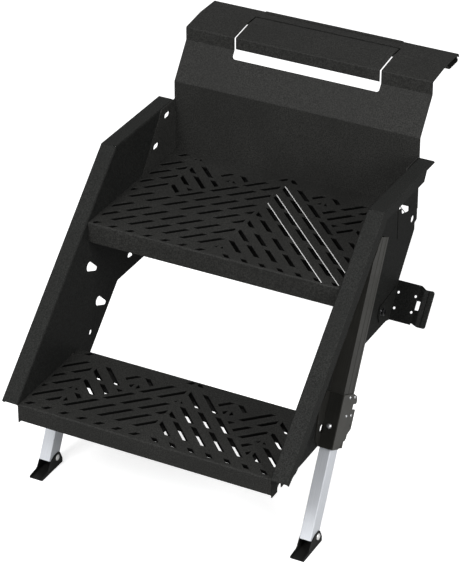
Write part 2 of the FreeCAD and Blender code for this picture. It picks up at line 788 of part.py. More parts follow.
# Legs, sleeves, collars and feet, made upright for the right side

def leg_tube():
    hollow = []
    for inset, corner in ((0, leg_corner), (leg_wall, leg_corner / 2)):
        hollow.append(plate_z([(leg_in + inset, inset, corner), (leg_out - inset, inset, corner),
                               (leg_out - inset, leg_depth - inset, corner),
                               (leg_in + inset, leg_depth - inset, corner)], -leg_below, leg_above))
    tube = hollow[0].cut(hollow[1])
    return tube.cut(rod_x(foot_pin_across, foot_pin_up - leg_below, foot_pin, leg_in - 1, leg_out + 1))


def leg_plug():
    """The plastic cap that closes the leg's upper end."""
    head = plate_z([(leg_in, 0, leg_corner), (leg_out, 0, leg_corner), (leg_out, leg_depth, leg_corner),
                    (leg_in, leg_depth, leg_corner)], leg_above, leg_above + plug_head)
    stem = box(leg_in + leg_wall, leg_out - leg_wall, leg_wall, leg_depth - leg_wall,
               leg_above - plug_length, leg_above)
    hollow = box(leg_in + 2 * leg_wall, leg_out - 2 * leg_wall, 2 * leg_wall, leg_depth - 2 * leg_wall,
                 leg_above - plug_length - 1, leg_above - leg_wall)
    corner = leg_corner / 2
    posts = []
    for x in (leg_in + leg_wall, leg_out - leg_wall):
        for y in (leg_wall, leg_depth - leg_wall):
            posts.append(box(x - corner, x + corner, y - corner, y + corner, leg_above - plug_length - 1,
                             leg_above))
    return fuse([head, stem.cut(hollow).cut(Part.makeCompound(posts))])


def sleeve(top):
    """A ribbed extrusion with a square bore for the leg and a narrow chamber behind it."""
    ribs = []
    for low, high in rib_lands:
        low = max(low, sleeve_front)
        high = min(high, sleeve_depth)
        if low > sleeve_front:
            ribs.append((sleeve_out - rib_depth, low - rib_slope))
        ribs.append((sleeve_out, low))
        ribs.append((sleeve_out, high))
        if high < sleeve_depth:
            ribs.append((sleeve_out - rib_depth, high + rib_slope))
    body = plate_z([(web_out, sleeve_front)] + ribs + [(web_out, sleeve_depth)], -sleeve_below, top)
    bore_back = leg_depth + sleeve_gap
    chamber_back = sleeve_depth - sleeve_wall
    bore = box(leg_in - sleeve_gap, leg_out + sleeve_gap, -sleeve_gap, bore_back, -sleeve_below - 1, top + 1)
    chamber = box(leg_in - sleeve_gap, leg_out + sleeve_gap, bore_back + partition, chamber_back,
                  -sleeve_below - 1, top + 1)
    half = lever_width / 2 + lever_window_side
    up = lever_pivot[0]
    window = box(leg_mid - half, leg_mid + half, bore_back - 1, sleeve_depth + 1, up - lever_window_down,
                 up + lever_window_up)
    screw_hole = Part.makeCylinder(screw / 2, sleeve_wall + 2, Vector(leg_mid, sleeve_front - 1, screw_up),
                                   Vector(0, 1, 0))
    body = body.cut(Part.makeCompound([bore, chamber])).cut(window).cut(screw_hole)
    for up in rivet_rows:
        body = body.cut(rod_x(rivet_columns[0], up, rivet, leg_out + sleeve_gap - 1, sleeve_out + 1))
    if top > collar_top + 2 * sleeve_chamfer:
        slant = sleeve_chamfer_in / sleeve_chamfer
        chamfer = plate_x([(sleeve_front - 1, top - sleeve_chamfer - 1 / slant + 1),
                           (sleeve_front + sleeve_chamfer_in + slant, top + 1),
                           (sleeve_front - 1, top + 1)], web_out - 1, sleeve_out + 1)
        body = body.cut(chamfer)
    return body


def collar():
    """A folded collar: a flange on the side panel, the front face and an outer face with its ear."""
    front = sleeve_front - collar_sheet
    low = -sleeve_below
    outer = plate_x([(front, low)] + list(collar_face) + [(front, collar_top)], sleeve_out, collar_out)
    face = box(web_out, collar_out, front, sleeve_front, low, collar_top)
    flange = plate_x([(sleeve_front, low)] + list(collar_flange) + [(sleeve_front, collar_top)], web_out,
                     web_out + collar_sheet)
    body = fuse([outer, face, flange])
    up, across = collar_hole_at
    body = body.cut(rod_x(across, up, collar_hole, web_out - 1, web_out + 2 * collar_sheet))
    body = body.cut(Part.makeCylinder(screw / 2, collar_sheet + 2, Vector(leg_mid, front - 1, screw_up),
                                      Vector(0, 1, 0)))
    for row in rivet_rows:
        for column in rivet_columns:
            body = body.cut(rod_x(column, row, rivet, sleeve_out - 1, collar_out + 1))
    return body.cut(rod_x(lever_pivot[1], lever_pivot[0], lever_pin, sleeve_out - 1, collar_out + 1))


def collar_rivets():
    """Short rivets into the sleeve, and long ones that hold the ear off the side panel."""
    solids = []
    for row in rivet_rows:
        for column, start in zip(rivet_columns, (leg_out + sleeve_gap, web_out)):
            shank = rod_x(column, row, rivet, start, collar_out)
            head = domed_head(column, row, rivet_head, rivet_head_height, collar_out, 1)
            solids.append(fuse([shank, head]))
    return solids


def collar_screw():
    front = sleeve_front - collar_sheet
    back = Vector(0, 1, 0)
    shank = Part.makeCylinder(screw / 2, -sleeve_gap - front, Vector(leg_mid, front, screw_up), back)
    radius = (screw_head ** 2 / 4 + screw_head_height ** 2) / (2 * screw_head_height)
    ball = Part.makeSphere(radius, Vector(leg_mid, front + radius - screw_head_height, screw_up))
    rim = Part.makeCylinder(screw_head / 2, screw_head_height,
                            Vector(leg_mid, front - screw_head_height, screw_up), back)
    head = ball.common(rim)
    return fuse([shank, head])


def lever_pin_rod():
    up, across = lever_pivot
    return rod_x(across, up, lever_pin, web_out, collar_out)


def lock_lever():
    """The cam lever behind the sleeve: its nose bears on the leg's back face when it is closed."""
    up, across = lever_pivot
    x0, x1 = leg_mid - lever_width / 2, leg_mid + lever_width / 2
    hub = rod_x(across, up, 2 * lever_hub, x0, x1)
    nose_tip = leg_depth + cam_gap
    nose = rod_x(nose_tip + cam_nose, up, 2 * cam_nose, x0, x1)
    cam = plate_x([(nose_tip + cam_nose, up - cam_nose), (across, up - lever_hub), (across, up + lever_hub),
                   (nose_tip + cam_nose, up + cam_nose)], x0, x1)
    arm = plate_x([(across - lever_grip, up), (across - lever_grip + 1, up - lever_length, 3),
                   (across + lever_grip, up - lever_length, 3), (across + lever_grip, up)], x0, x1)
    bore = rod_x(across, up, lever_pin + 2 * running_gap, x0 - 1, x1 + 1)
    return fuse([hub, nose, cam, arm]).cut(bore)


def foot_pin_place():
    return leg_point(foot_pin_up - leg_below, foot_pin_across)


def foot_pin_rod():
    y, z = foot_pin_place()
    wall = ear_gap + foot_wall + cam_gap
    pieces = [rod_x(y, z, foot_pin, leg_in - wall, leg_out + wall),
              domed_head(y, z, foot_pin_head, foot_pin_head_height, leg_out + wall, 1),
              domed_head(y, z, foot_pin_head, foot_pin_head_height, leg_in - wall, -1)]
    return fuse(pieces)


def foot():
    """A folded shoe: a flat sole with an ear on each side of the leg."""
    y, z = foot_pin_place()
    ground = z - ground_drop
    tip, back = y - toe, y + heel
    inner_in, inner_out = leg_in - ear_gap, leg_out + ear_gap
    walls = [(y + behind, ground + above, radius) for behind, above, radius in
             (toe_wall, toe_dip, ear_foot_rise)]
    side = [(tip, ground)] + walls
    side += [(y - foot_ear, z + foot_ear, ear_corners[0]), (y + foot_ear, z + foot_ear, ear_corners[1]),
             (y + heel_wall[0], ground + heel_wall[1], heel_wall[2]), (back, ground)]
    ears = []
    for x0 in (inner_in - foot_wall, inner_out):
        ear = plate_x(side, x0, x0 + foot_wall)
        ears.append(ear.cut(rod_x(y, z, foot_pin + 2 * running_gap, x0 - 1, x0 + foot_wall + 1)))
    sole = box(inner_in - foot_wall, inner_out + foot_wall, tip, back, ground, ground + foot_wall)
    return fuse([sole] + ears)


# Mounting brackets

def bracket_bolt_place():
    return bracket_y - bracket_bolt_at[0], bracket_z + bracket_bolt_at[1]


def bracket_plane(x, up, out=0.0):
    """A point of the bracket's plane: across, up its slanting edge, and out of its front face."""
    tilt = math.radians(bracket_tilt)
    return Vector(x, bracket_y + up * math.cos(tilt) - out * math.sin(tilt),
                  bracket_z + up * math.sin(tilt) + out * math.cos(tilt))


def mount_bracket():
    """A folded bracket: one leg on the side panel, the other reaching out with the fixing holes."""
    reach = [(web_out + out, off) for out, off in bracket_wave]
    strip = Part.Face(outline(folded(reach, bracket_sheet, -1), lambda x, out: bracket_plane(x, 0, out)))
    strip = strip.extrude(bracket_plane(0, bracket_height + 2) - bracket_plane(0, 0))
    strip.translate(bracket_plane(0, 0) - bracket_plane(0, 2))
    shape = [(web_out + out, up, radius) for out, up, radius in bracket_blank]
    outward = bracket_plane(0, 0, 20) - bracket_plane(0, 0, -20)
    blank = Part.Face(outline(shape, lambda x, up: bracket_plane(x, up, -20))).extrude(outward)
    arm = strip.common(blank)
    cuts = []
    for i in range(2):
        for j in range(2):
            hole_x = web_out + bracket_hole_at[0] + i * bracket_hole_pitch_x
            centre = bracket_plane(hole_x, bracket_hole_at[1] + j * bracket_hole_pitch_up, -20)
            cuts.append(Part.makeCylinder(bracket_hole / 2, 40, centre, outward))
    (near, low), (far, high) = bracket_window
    window = [(web_out + out, up, bracket_window_corner) for out, up in
              ((near, low), (far, low), (far, high), (near, high))]
    cuts.append(Part.Face(outline(window, lambda x, up: bracket_plane(x, up, -20))).extrude(outward))
    y, z = bracket_bolt_place()
    low = bracket_plane(0, 0, -bracket_sheet)
    high = bracket_plane(0, bracket_leg_top, -bracket_sheet)
    top = z + 13
    side = plate_x([(low.y, low.z), (high.y, high.z), (high.y - 4, top + 8, 3), (y - 8, top, 5),
                    (y - 14, z - 2, 8), (y - 8, bracket_z + 16, 6), (bracket_y - 16, bracket_z + 4, 5)],
                   web_out, web_out + bracket_sheet)
    cuts.append(rod_x(y, z, bolt, web_out - 1, web_out + bracket_sheet + 1))
    return fuse([arm, side]).cut(Part.makeCompound(cuts))


def bracket_fasteners():
    """The bolt through the bracket and the side panel, its washer, and its nut inside the panel."""
    y, z = bracket_bolt_place()
    face = web_out + bracket_sheet
    head_face = face + washer_height
    bolt_solid = fuse([rod_x(y, z, bolt, half_gap - nut_height - 2, head_face),
                       hexagon_x(y, z, bolt_head, head_face, head_face + bolt_head_height)])
    washer_solid = rod_x(y, z, washer, face, head_face).cut(rod_x(y, z, bolt, face - 1, head_face + 1))
    nut_solid = hexagon_x(y, z, bolt_head, half_gap - nut_height, half_gap)
    nut_solid = nut_solid.cut(rod_x(y, z, bolt, half_gap - nut_height - 1, half_gap + 1))
    return bolt_solid, washer_solid, nut_solid


# Writing the pieces

def save(name, solids):
    if not isinstance(solids, list):
        solids = [solids]
    whole = solids[0] if len(solids) == 1 else Part.makeCompound(solids)
    moved = whole.copy()
    moved.translate(-seat_middle)
    moved.exportStep("parts/" + name + ".step")
    for solid in solids:
        if not solid.isValid() or len(solid.Solids) != 1:
            print("check", name, "valid", solid.isValid(), "solids", len(solid.Solids))


def both_sides(name, solid):
    save("right_" + name, solid)
    save("left_" + name, mirrored(solid))


def main():
    os.makedirs("parts", exist_ok=True)
    save("lower_tread", lower_tread())
    save("upper_tread", upper_tread())
    save("lower_tread_stiffeners", lower_grid())
    save("upper_tread_stiffeners", stiffeners(tread_going, tread_rise, upper_stiffener_at,
                                              upper_stiffener_depth))
    save("right_side_panel", side_panel(True))
    save("left_side_panel", side_panel(False))
    save("riser_panel", riser_panel())
    save("threshold_channel", threshold_channel())
    save("rear_strip", rear_strip())
    save("lift_handle", lift_handle())
    save("hinge_lugs", hinge_lugs())
    save("hinge_pin", hinge_pin_rod())
    both_sides("mount_bracket", mount_bracket())
    for name, solid in zip(("bracket_bolts", "bracket_washers", "bracket_nuts"), bracket_fasteners()):
        save(name, [solid, mirrored(solid)])
    save("right_leg_sleeve", on_leg(sleeve(right_sleeve_top)))
    save("left_leg_sleeve", mirrored(on_leg(sleeve(left_sleeve_top))))
    both_sides("leg_collar", on_leg(collar()))
    rivets = [on_leg(solid) for solid in collar_rivets()]
    save("right_collar_rivets", rivets)
    save("left_collar_rivets", [mirrored(solid) for solid in rivets])
    both_sides("collar_screw", on_leg(collar_screw()))
    both_sides("lever_pin", on_leg(lever_pin_rod()))
    both_sides("lock_lever", on_leg(lock_lever()))
    both_sides("leg_tube", on_leg(leg_tube()))
    both_sides("leg_plug", on_leg(leg_plug()))
    both_sides("foot_pin", foot_pin_rod())
    both_sides("foot", foot())


main()
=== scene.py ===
"""Finishes and fine details of a two-step entry step, and the studio that it is shown in."""

import math

import bmesh
import bpy
from bpy.props import FloatProperty, FloatVectorProperty, IntProperty, PointerProperty
from bpy.types import Operator, Panel, PropertyGroup
from mathutils import Matrix, Vector


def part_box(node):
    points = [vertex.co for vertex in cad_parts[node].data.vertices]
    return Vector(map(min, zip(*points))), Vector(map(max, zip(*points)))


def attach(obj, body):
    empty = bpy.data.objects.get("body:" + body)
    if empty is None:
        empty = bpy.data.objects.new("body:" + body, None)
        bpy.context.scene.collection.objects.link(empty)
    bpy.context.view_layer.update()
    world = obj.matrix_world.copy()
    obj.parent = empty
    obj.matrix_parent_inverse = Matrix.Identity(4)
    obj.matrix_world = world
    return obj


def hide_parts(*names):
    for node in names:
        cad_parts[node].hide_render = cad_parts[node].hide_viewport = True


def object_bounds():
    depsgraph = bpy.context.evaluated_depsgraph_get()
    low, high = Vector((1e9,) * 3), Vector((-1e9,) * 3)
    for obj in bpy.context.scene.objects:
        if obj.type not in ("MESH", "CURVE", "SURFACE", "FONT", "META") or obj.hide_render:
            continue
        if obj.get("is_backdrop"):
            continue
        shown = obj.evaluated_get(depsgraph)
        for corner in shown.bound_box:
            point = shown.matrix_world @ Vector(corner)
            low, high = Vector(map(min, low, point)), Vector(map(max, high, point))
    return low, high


bl_info = {
    "name": "Two-step entry step",
    "version": (1, 0, 0),
    "blender": (4, 5, 0),
    "location": "View3D > Sidebar > Entry Step",
    "description": "Finishes and fine details of a two-step entry step, and its studio",
    "category": "Object",
}

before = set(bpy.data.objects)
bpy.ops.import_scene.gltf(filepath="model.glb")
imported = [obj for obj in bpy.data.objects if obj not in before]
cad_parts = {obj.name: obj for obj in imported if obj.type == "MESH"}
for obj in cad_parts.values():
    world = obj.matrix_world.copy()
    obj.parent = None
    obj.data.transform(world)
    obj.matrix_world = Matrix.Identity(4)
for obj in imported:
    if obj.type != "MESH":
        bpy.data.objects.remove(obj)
CAD_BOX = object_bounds()
FRAME_BODY = "step_frame"
SIDES = (("right", 1), ("left", -1))
LEG_LEAN = math.radians(27.0)  # of the legs and sleeves, back from upright
TREAD_SHEET = 0.002  # thickness of the treads' sheet
MERGE = 1e-6  # vertices closer than this are one
TOUCH = 1e-5  # heights closer than this are one
SHARP = math.radians(32)  # folds sharper than this aren't smoothed
NOISE = (0.3, 0.7)  # most of a noise lies between these


# Shared settings

class CoatSettings(PropertyGroup):
    """The sprayed finish of the steel sheet."""
    colour: FloatVectorProperty(name="Coat", description="Base colour of the powder coat", subtype="COLOR",
                                size=3, default=(0.0152, 0.0152, 0.0144), min=0, max=1)
    fleck: FloatVectorProperty(name="Fleck", description="Colour of the lighter specks in the coat",
                               subtype="COLOR", size=3, default=(0.0435, 0.0435, 0.041), min=0, max=1)
    # panel: the powder coat made darker for the side panels and brackets, as painted shade
    panel: FloatVectorProperty(name="Side panels", description="Cooler coat of the side panels",
                               subtype="COLOR", size=3, default=(0.0115, 0.0118, 0.0112), min=0, max=1)
    roughness: FloatProperty(name="Roughness", description="Mean roughness of the coat", default=0.60, min=0,
                             max=1)
    gloss: FloatProperty(name="Gloss", description="Specular level of the coat", default=0.13, min=0, max=1)
    grain: FloatProperty(name="Grain", description="Size of the coat's orange peel", default=0.0024,
                         min=0.0002, max=0.01, unit="LENGTH")
    # slot_shade: painted shade, the share of the coat's colour left on the slots' walls and rims
    slot_shade: FloatProperty(name="Slot shade", description="How much coat shows on the walls of the slots",
                              default=0.12, min=0, max=1)


class MetalSettings(PropertyGroup):
    """The bare and plated metals."""
    aluminium: FloatVectorProperty(name="Aluminium", description="Colour of the leg tubes", subtype="COLOR",
                                   size=3, default=(0.88, 0.91, 0.96), min=0, max=1)
    zinc: FloatVectorProperty(name="Zinc", description="Colour of the plated fasteners", subtype="COLOR",
                              size=3, default=(0.76, 0.77, 0.79), min=0, max=1)
    drawn: FloatProperty(name="Drawing marks", description="Distance between the tubes' lengthwise marks",
                         default=0.0009, min=0.0002, max=0.01, unit="LENGTH")


class CreaseSettings(PropertyGroup):
    """The pressed creases beside the treads' slots."""
    pitch: FloatProperty(name="Pitch", description="Distance between lines of slots, across the step",
                         default=0.0382, min=0.01, max=0.1, unit="LENGTH")
    first: FloatProperty(name="First line", description="Where the first line meets the tread's front edge",
                         default=0.0369, min=0, max=0.1, unit="LENGTH")
    peak: FloatProperty(name="Outer ridge", description="From the middle ridge to an outer one",
                        default=0.203, min=0.05, max=0.3, unit="LENGTH")
    lower_middle: FloatProperty(name="Lower middle ridge", description="From the middle of the step",
                                default=-0.0034, min=-0.02, max=0.02, unit="LENGTH")
    upper_middle: FloatProperty(name="Upper middle ridge", description="From the middle of the step",
                                default=-0.0006, min=-0.02, max=0.02, unit="LENGTH")
    lower_lines: IntProperty(name="Lower lines", description="Lines that reach the lower middle ridge",
                             default=6, min=1, max=20)
    upper_lines: IntProperty(name="Upper lines", description="Lines that reach the upper middle ridge",
                             default=9, min=1, max=20)
    beside: FloatProperty(name="Beside the slot", description="From a slot's middle to its crease, across",
                          default=0.0073, min=0.004, max=0.02, unit="LENGTH")
    land: FloatProperty(name="Land", description="Plain sheet beside a ridge", default=0.004, min=0.001,
                        max=0.02, unit="LENGTH")
    radius: FloatProperty(name="Radius", description="Half the width of a crease", default=0.0009,
                          min=0.0003, max=0.003, unit="LENGTH")
    height: FloatProperty(name="Height", description="Height of a crease over the sheet", default=0.0005,
                          min=0.0001, max=0.002, unit="LENGTH")


class StudioSettings(PropertyGroup):
    """The camera, the floor and the lights."""
    place: FloatVectorProperty(name="Camera", description="Place of the camera", subtype="XYZ", size=3,
                               default=(2.05432, -4.35417, 2.27110), unit="LENGTH")
    azimuth: FloatProperty(name="Azimuth", description="Turn of the camera about the vertical",
                           default=math.radians(27.62), subtype="ANGLE")
    elevation: FloatProperty(name="Elevation", description="How far the camera looks down",
                             default=math.radians(30.53), subtype="ANGLE")
    lens: FloatProperty(name="Lens", description="Focal length over the height of the picture",
                        default=2654.82 / 564, min=0.5, max=20)
    sky: FloatProperty(name="Sky", description="Light of the pale surroundings", default=0.39, min=0, max=5)
    floor: FloatProperty(name="Floor", description="Brightness of the floor", default=0.92, min=0, max=1)
    bounce: FloatProperty(name="Bounce", description="Light that the floor throws back up", default=0.4,
                          min=0, max=1)
    glow: FloatProperty(name="Glow", description="Even glow of the floor", default=0.62, min=0, max=2)
    key: FloatProperty(name="Key light", description="Power of the main light", default=150.0, min=0,
                       max=1000, unit="POWER")
    key_place: FloatVectorProperty(name="Key place", description="Place of the main light", subtype="XYZ",
                                   size=3, default=(-0.6, -3.8, 2.9), unit="LENGTH")
    fill: FloatProperty(name="Fill light", description="Power of the light from the right", default=80.0,
                        min=0, max=1000, unit="POWER")
    fill_place: FloatVectorProperty(name="Fill place", description="Place of the light from the right",
                                    subtype="XYZ", size=3, default=(3.4, -1.4, 1.2), unit="LENGTH")


class EntryStepSettings(PropertyGroup):
    """Everything that a user may change."""
    coat: PointerProperty(type=CoatSettings)
    metal: PointerProperty(type=MetalSettings)
    crease: PointerProperty(type=CreaseSettings)
    studio: PointerProperty(type=StudioSettings)


def settings():
    return bpy.context.scene.entry_step


# Meshes

def finish_mesh(bm, name, materials, smooth=True):
    """Turn a bmesh into a piece of the step with outward faces."""
    bmesh.ops.remove_doubles(bm, verts=bm.verts, dist=MERGE)
    bmesh.ops.recalc_face_normals(bm, faces=bm.faces)
    for face in bm.faces:
        face.smooth = smooth
    mesh = bpy.data.meshes.new(name)
    bm.to_mesh(mesh)
    bm.free()
    piece = bpy.data.objects.new(name, mesh)
    for material in materials:
        mesh.materials.append(material)
    bpy.context.scene.collection.objects.link(piece)
    if smooth:
        mesh.set_sharp_from_angle(angle=SHARP)
    return piece


def mount(piece, body=FRAME_BODY, nodes=()):
    """Hide the CAD nodes that a finished piece stands for, and hang the piece on its body."""
    if nodes:
        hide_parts(*nodes)
    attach(piece, body)


def turned(bm, profile, place, direction, steps):
    """Spin a profile of (radius, height) round the line through place along direction."""
    turn = Vector((0, 0, 1)).rotation_difference(direction).to_matrix().to_4x4()
    verts = [bm.verts.new((radius, 0, height)) for radius, height in profile]
    edges = [bm.edges.new(pair) for pair in zip(verts, verts[1:])]
    bmesh.ops.spin(bm, geom=verts + edges, cent=(0, 0, 0), axis=(0, 0, 1), dvec=(0, 0, 0),
                   angle=math.tau, steps=steps, use_merge=True, use_duplicate=False)
    island = grown(verts)
    bmesh.ops.transform(bm, matrix=Matrix.Translation(place) @ turn, verts=island)
    bmesh.ops.remove_doubles(bm, verts=island, dist=0.1 * MERGE)


def grown(verts):
    """Every vertex that is joined to some of these."""
    found = set(verts)
    fresh = list(found)
    while fresh:
        vert = fresh.pop()
        for link in vert.link_edges:
            other = link.other_vert(vert)
            if other not in found:
                found.add(other)
                fresh.append(other)
    return list(found)


def hexagon(bm, across_flats, start, direction, length, turn, chamfer):
    """A six-sided prism with its far edge chamfered."""
    radius = across_flats / 2 / math.cos(math.pi / 6)
    made = set(bmesh.ops.create_cone(bm, cap_ends=True, segments=6, depth=length, radius1=radius,
                                     radius2=radius)["verts"])
    nearly_far = 0.49 * length
    far = [e for e in bm.edges if all(v in made and v.co.z > nearly_far for v in e.verts)]
    bevelled = bmesh.ops.bevel(bm, geom=far, offset=chamfer, segments=2, affect="EDGES", profile=0.5,
                               material=-1)
    made = {v for v in made if v.is_valid} | set(bevelled["verts"])
    across = Vector((0, 0, 1)).rotation_difference(direction).to_matrix().to_4x4()
    place = Matrix.Translation(Vector(start) + direction * (length / 2))
    bmesh.ops.transform(bm, matrix=place @ across @ Matrix.Rotation(turn, 4, "Z"), verts=list(made))


def merged_copy(node):
    """A bmesh of a CAD node with its coincident vertices merged."""
    bm = bmesh.new()
    bm.from_mesh(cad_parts[node].data)
    bmesh.ops.remove_doubles(bm, verts=bm.verts, dist=MERGE)
    return bm


def separate(bm):
    """Yield the vertices of each separate part of a bmesh."""
    left = set(bm.verts)
    while left:
        island = grown([next(iter(left))])
        left -= set(island)
        yield island


def islands(node):
    """The corners of each separate solid of a node, as (lowest, highest)."""
    bm = merged_copy(node)
    boxes = []
    for island in separate(bm):
        low = Vector([min(v.co[i] for v in island) for i in range(3)])
        high = Vector([max(v.co[i] for v in island) for i in range(3)])
        boxes.append((low, high))
    bm.free()
    return sorted(boxes, key=lambda b: tuple(round(c, 5) for c in b[0]))


def lie(low, high):
    """The side that a box lies on, its middle along and up, and its nearer and farther reach."""
    side = 1 if low.x > 0 else -1
    return side, (low.y + high.y) / 2, (low.z + high.z) / 2, *sorted((abs(low.x), abs(high.x)))


# Materials

def scaled(colour, share):
    """That share of a colour."""
    return tuple(share * channel for channel in colour)


def new_group(name, inputs, outputs):
    """A shader node group with named sockets; inputs are (name, kind, default)."""
    group = bpy.data.node_groups.new(name, "ShaderNodeTree")
    for socket, kind, default in inputs:
        made = group.interface.new_socket(name=socket, in_out="INPUT", socket_type=kind)
        if default is not None:
            made.default_value = default
    for socket, kind in outputs:
        group.interface.new_socket(name=socket, in_out="OUTPUT", socket_type=kind)
    return group, group.nodes.new("NodeGroupInput"), group.nodes.new("NodeGroupOutput")


def noise(tree, vector, scale, detail=2.0, roughness=0.5):
    node = tree.nodes.new("ShaderNodeTexNoise")
    node.inputs["Detail"].default_value = detail
    node.inputs["Roughness"].default_value = roughness
    tree.links.new(vector, node.inputs["Vector"])
    if isinstance(scale, float):
        node.inputs["Scale"].default_value = scale
    else:
        tree.links.new(scale, node.inputs["Scale"])
    return node.outputs["Fac"]


def spread(tree, value, low, high, to_low, to_high):
    """Stretch a value from low..high to to_low..to_high."""
    node = tree.nodes.new("ShaderNodeMapRange")
    node.clamp = True
    tree.links.new(value, node.inputs["Value"])
    for socket, number in zip(("From Min", "From Max", "To Min", "To Max"), (low, high, to_low, to_high)):
        if isinstance(number, (int, float)):
            node.inputs[socket].default_value = number
        else:
            tree.links.new(number, node.inputs[socket])
    return node.outputs["Result"]


def mixed(tree, share, first, second):
    node = tree.nodes.new("ShaderNodeMix")
    node.data_type = "RGBA"
    for socket, value in (("A", first), ("B", second)):
        target = [s for s in node.inputs if s.name == socket and s.type == "RGBA"][0]
        if isinstance(value, (tuple, list)):
            target.default_value = (*value[:3], 1.0)
        else:
            tree.links.new(value, target)
    tree.links.new(share, node.inputs["Factor"])
    return [s for s in node.outputs if s.type == "RGBA"][0]


def arithmetic(tree, operation, first, second):
    node = tree.nodes.new("ShaderNodeMath")
    node.operation = operation
    for socket, value in zip(node.inputs, (first, second)):
        if isinstance(value, (int, float)):
            socket.default_value = value
        else:
            tree.links.new(value, socket)
    return node.outputs["Value"]


def sprayed_group():
    """The tone, roughness and orange peel of a sprayed and baked coat."""
    if "Sprayed coat" in bpy.data.node_groups:
        return bpy.data.node_groups["Sprayed coat"]
    group, source, result = new_group(
        "Sprayed coat",
        [("Place", "NodeSocketVector", None), ("Coat", "NodeSocketColor", (0.02, 0.02, 0.02, 1)),
         ("Fleck", "NodeSocketColor", (0.04, 0.04, 0.04, 1)), ("Grain", "NodeSocketFloat", 800.0),
         ("Roughness", "NodeSocketFloat", 0.5)],
        [("Colour", "NodeSocketColor"), ("Roughness", "NodeSocketFloat"), ("Height", "NodeSocketFloat")])
    place = source.outputs["Place"]
    clouds = 9.0  # to the metre
    sparse, dense = 0.40, 0.66  # of the noise, where the fleck starts and is full
    thinnest = 0.55  # share of the fleck where a cloud is thinnest
    peel = 1.7  # how much finer the orange peel is than the fleck
    by_cloud, by_peel = 0.05, 0.04  # how far the roughness wanders
    fleck = noise(group, place, source.outputs["Grain"], detail=3.0, roughness=0.6)
    cloud = noise(group, place, clouds, detail=3.0)
    share = spread(group, fleck, sparse, dense, 0.0, 1.0)
    share = arithmetic(group, "MULTIPLY", share, spread(group, cloud, *NOISE, thinnest, 1.0))
    colour = mixed(group, share, source.outputs["Coat"], source.outputs["Fleck"])
    fine = noise(group, place, arithmetic(group, "MULTIPLY", source.outputs["Grain"], peel))
    patch = spread(group, cloud, *NOISE, -by_cloud, by_cloud)
    varied = arithmetic(group, "ADD", source.outputs["Roughness"], patch)
    rough = arithmetic(group, "ADD", varied, spread(group, fine, *NOISE, -by_peel, by_peel))
    group.links.new(colour, result.inputs["Colour"])
    group.links.new(rough, result.inputs["Roughness"])
    group.links.new(fine, result.inputs["Height"])
    return group


def drawn_group():
    """Fine lengthwise marks of a drawn or extruded metal, along the Z of its place."""
    if "Drawn metal" in bpy.data.node_groups:
        return bpy.data.node_groups["Drawn metal"]
    group, source, result = new_group(
        "Drawn metal",
        [("Place", "NodeSocketVector", None), ("Marks", "NodeSocketFloat", 1100.0),
         ("Stretch", "NodeSocketFloat", 0.01)],
        [("Mark", "NodeSocketFloat"), ("Smudge", "NodeSocketFloat")])
    squeeze = group.nodes.new("ShaderNodeVectorMath")
    squeeze.operation = "MULTIPLY"
    factors = group.nodes.new("ShaderNodeCombineXYZ")
    factors.inputs["X"].default_value = 1.0
    factors.inputs["Y"].default_value = 1.0
    group.links.new(source.outputs["Stretch"], factors.inputs["Z"])
    group.links.new(source.outputs["Place"], squeeze.inputs[0])
    group.links.new(factors.outputs["Vector"], squeeze.inputs[1])
    smudges = 35.0  # to the metre
    mark = noise(group, squeeze.outputs["Vector"], source.outputs["Marks"])
    smudge = noise(group, source.outputs["Place"], smudges, detail=3.0)
    group.links.new(mark, result.inputs["Mark"])
    group.links.new(smudge, result.inputs["Smudge"])
    return group


def blank_material(name):
    material = bpy.data.materials.new(name)
    material.use_nodes = True
    tree = material.node_tree
    return material, tree, tree.nodes["Principled BSDF"]


def object_place(tree, lean=0.0):
    """Object coordinates, turned so that Z runs up a piece that leans back."""
    coordinates = tree.nodes.new("ShaderNodeTexCoord").outputs["Object"]
    if not lean:
        return coordinates
    mapping = tree.nodes.new("ShaderNodeMapping")
    mapping.inputs["Rotation"].default_value = (lean, 0, 0)
    tree.links.new(coordinates, mapping.inputs["Vector"])
    return mapping.outputs["Vector"]


def bump(tree, height, distance, strength, shader):
    node = tree.nodes.new("ShaderNodeBump")
    node.inputs["Distance"].default_value = distance
    node.inputs["Strength"].default_value = strength
    tree.links.new(height, node.inputs["Height"])
    tree.links.new(node.outputs["Normal"], shader.inputs["Normal"])


def coat_material(name, colour, fleck, roughness, gloss, grain, depth=0.00006):
    """A sprayed black coat."""
    material, tree, shader = blank_material(name)
    node = tree.nodes.new("ShaderNodeGroup")
    node.node_tree = sprayed_group()
    tree.links.new(object_place(tree), node.inputs["Place"])
    node.inputs["Coat"].default_value = (*colour, 1)
    node.inputs["Fleck"].default_value = (*fleck, 1)
    node.inputs["Grain"].default_value = 1 / grain
    node.inputs["Roughness"].default_value = roughness
    tree.links.new(node.outputs["Colour"], shader.inputs["Base Color"])
    tree.links.new(node.outputs["Roughness"], shader.inputs["Roughness"])
    shader.inputs["Specular IOR Level"].default_value = gloss
    bump(tree, node.outputs["Height"], depth, strength=0.6, shader=shader)
    return material


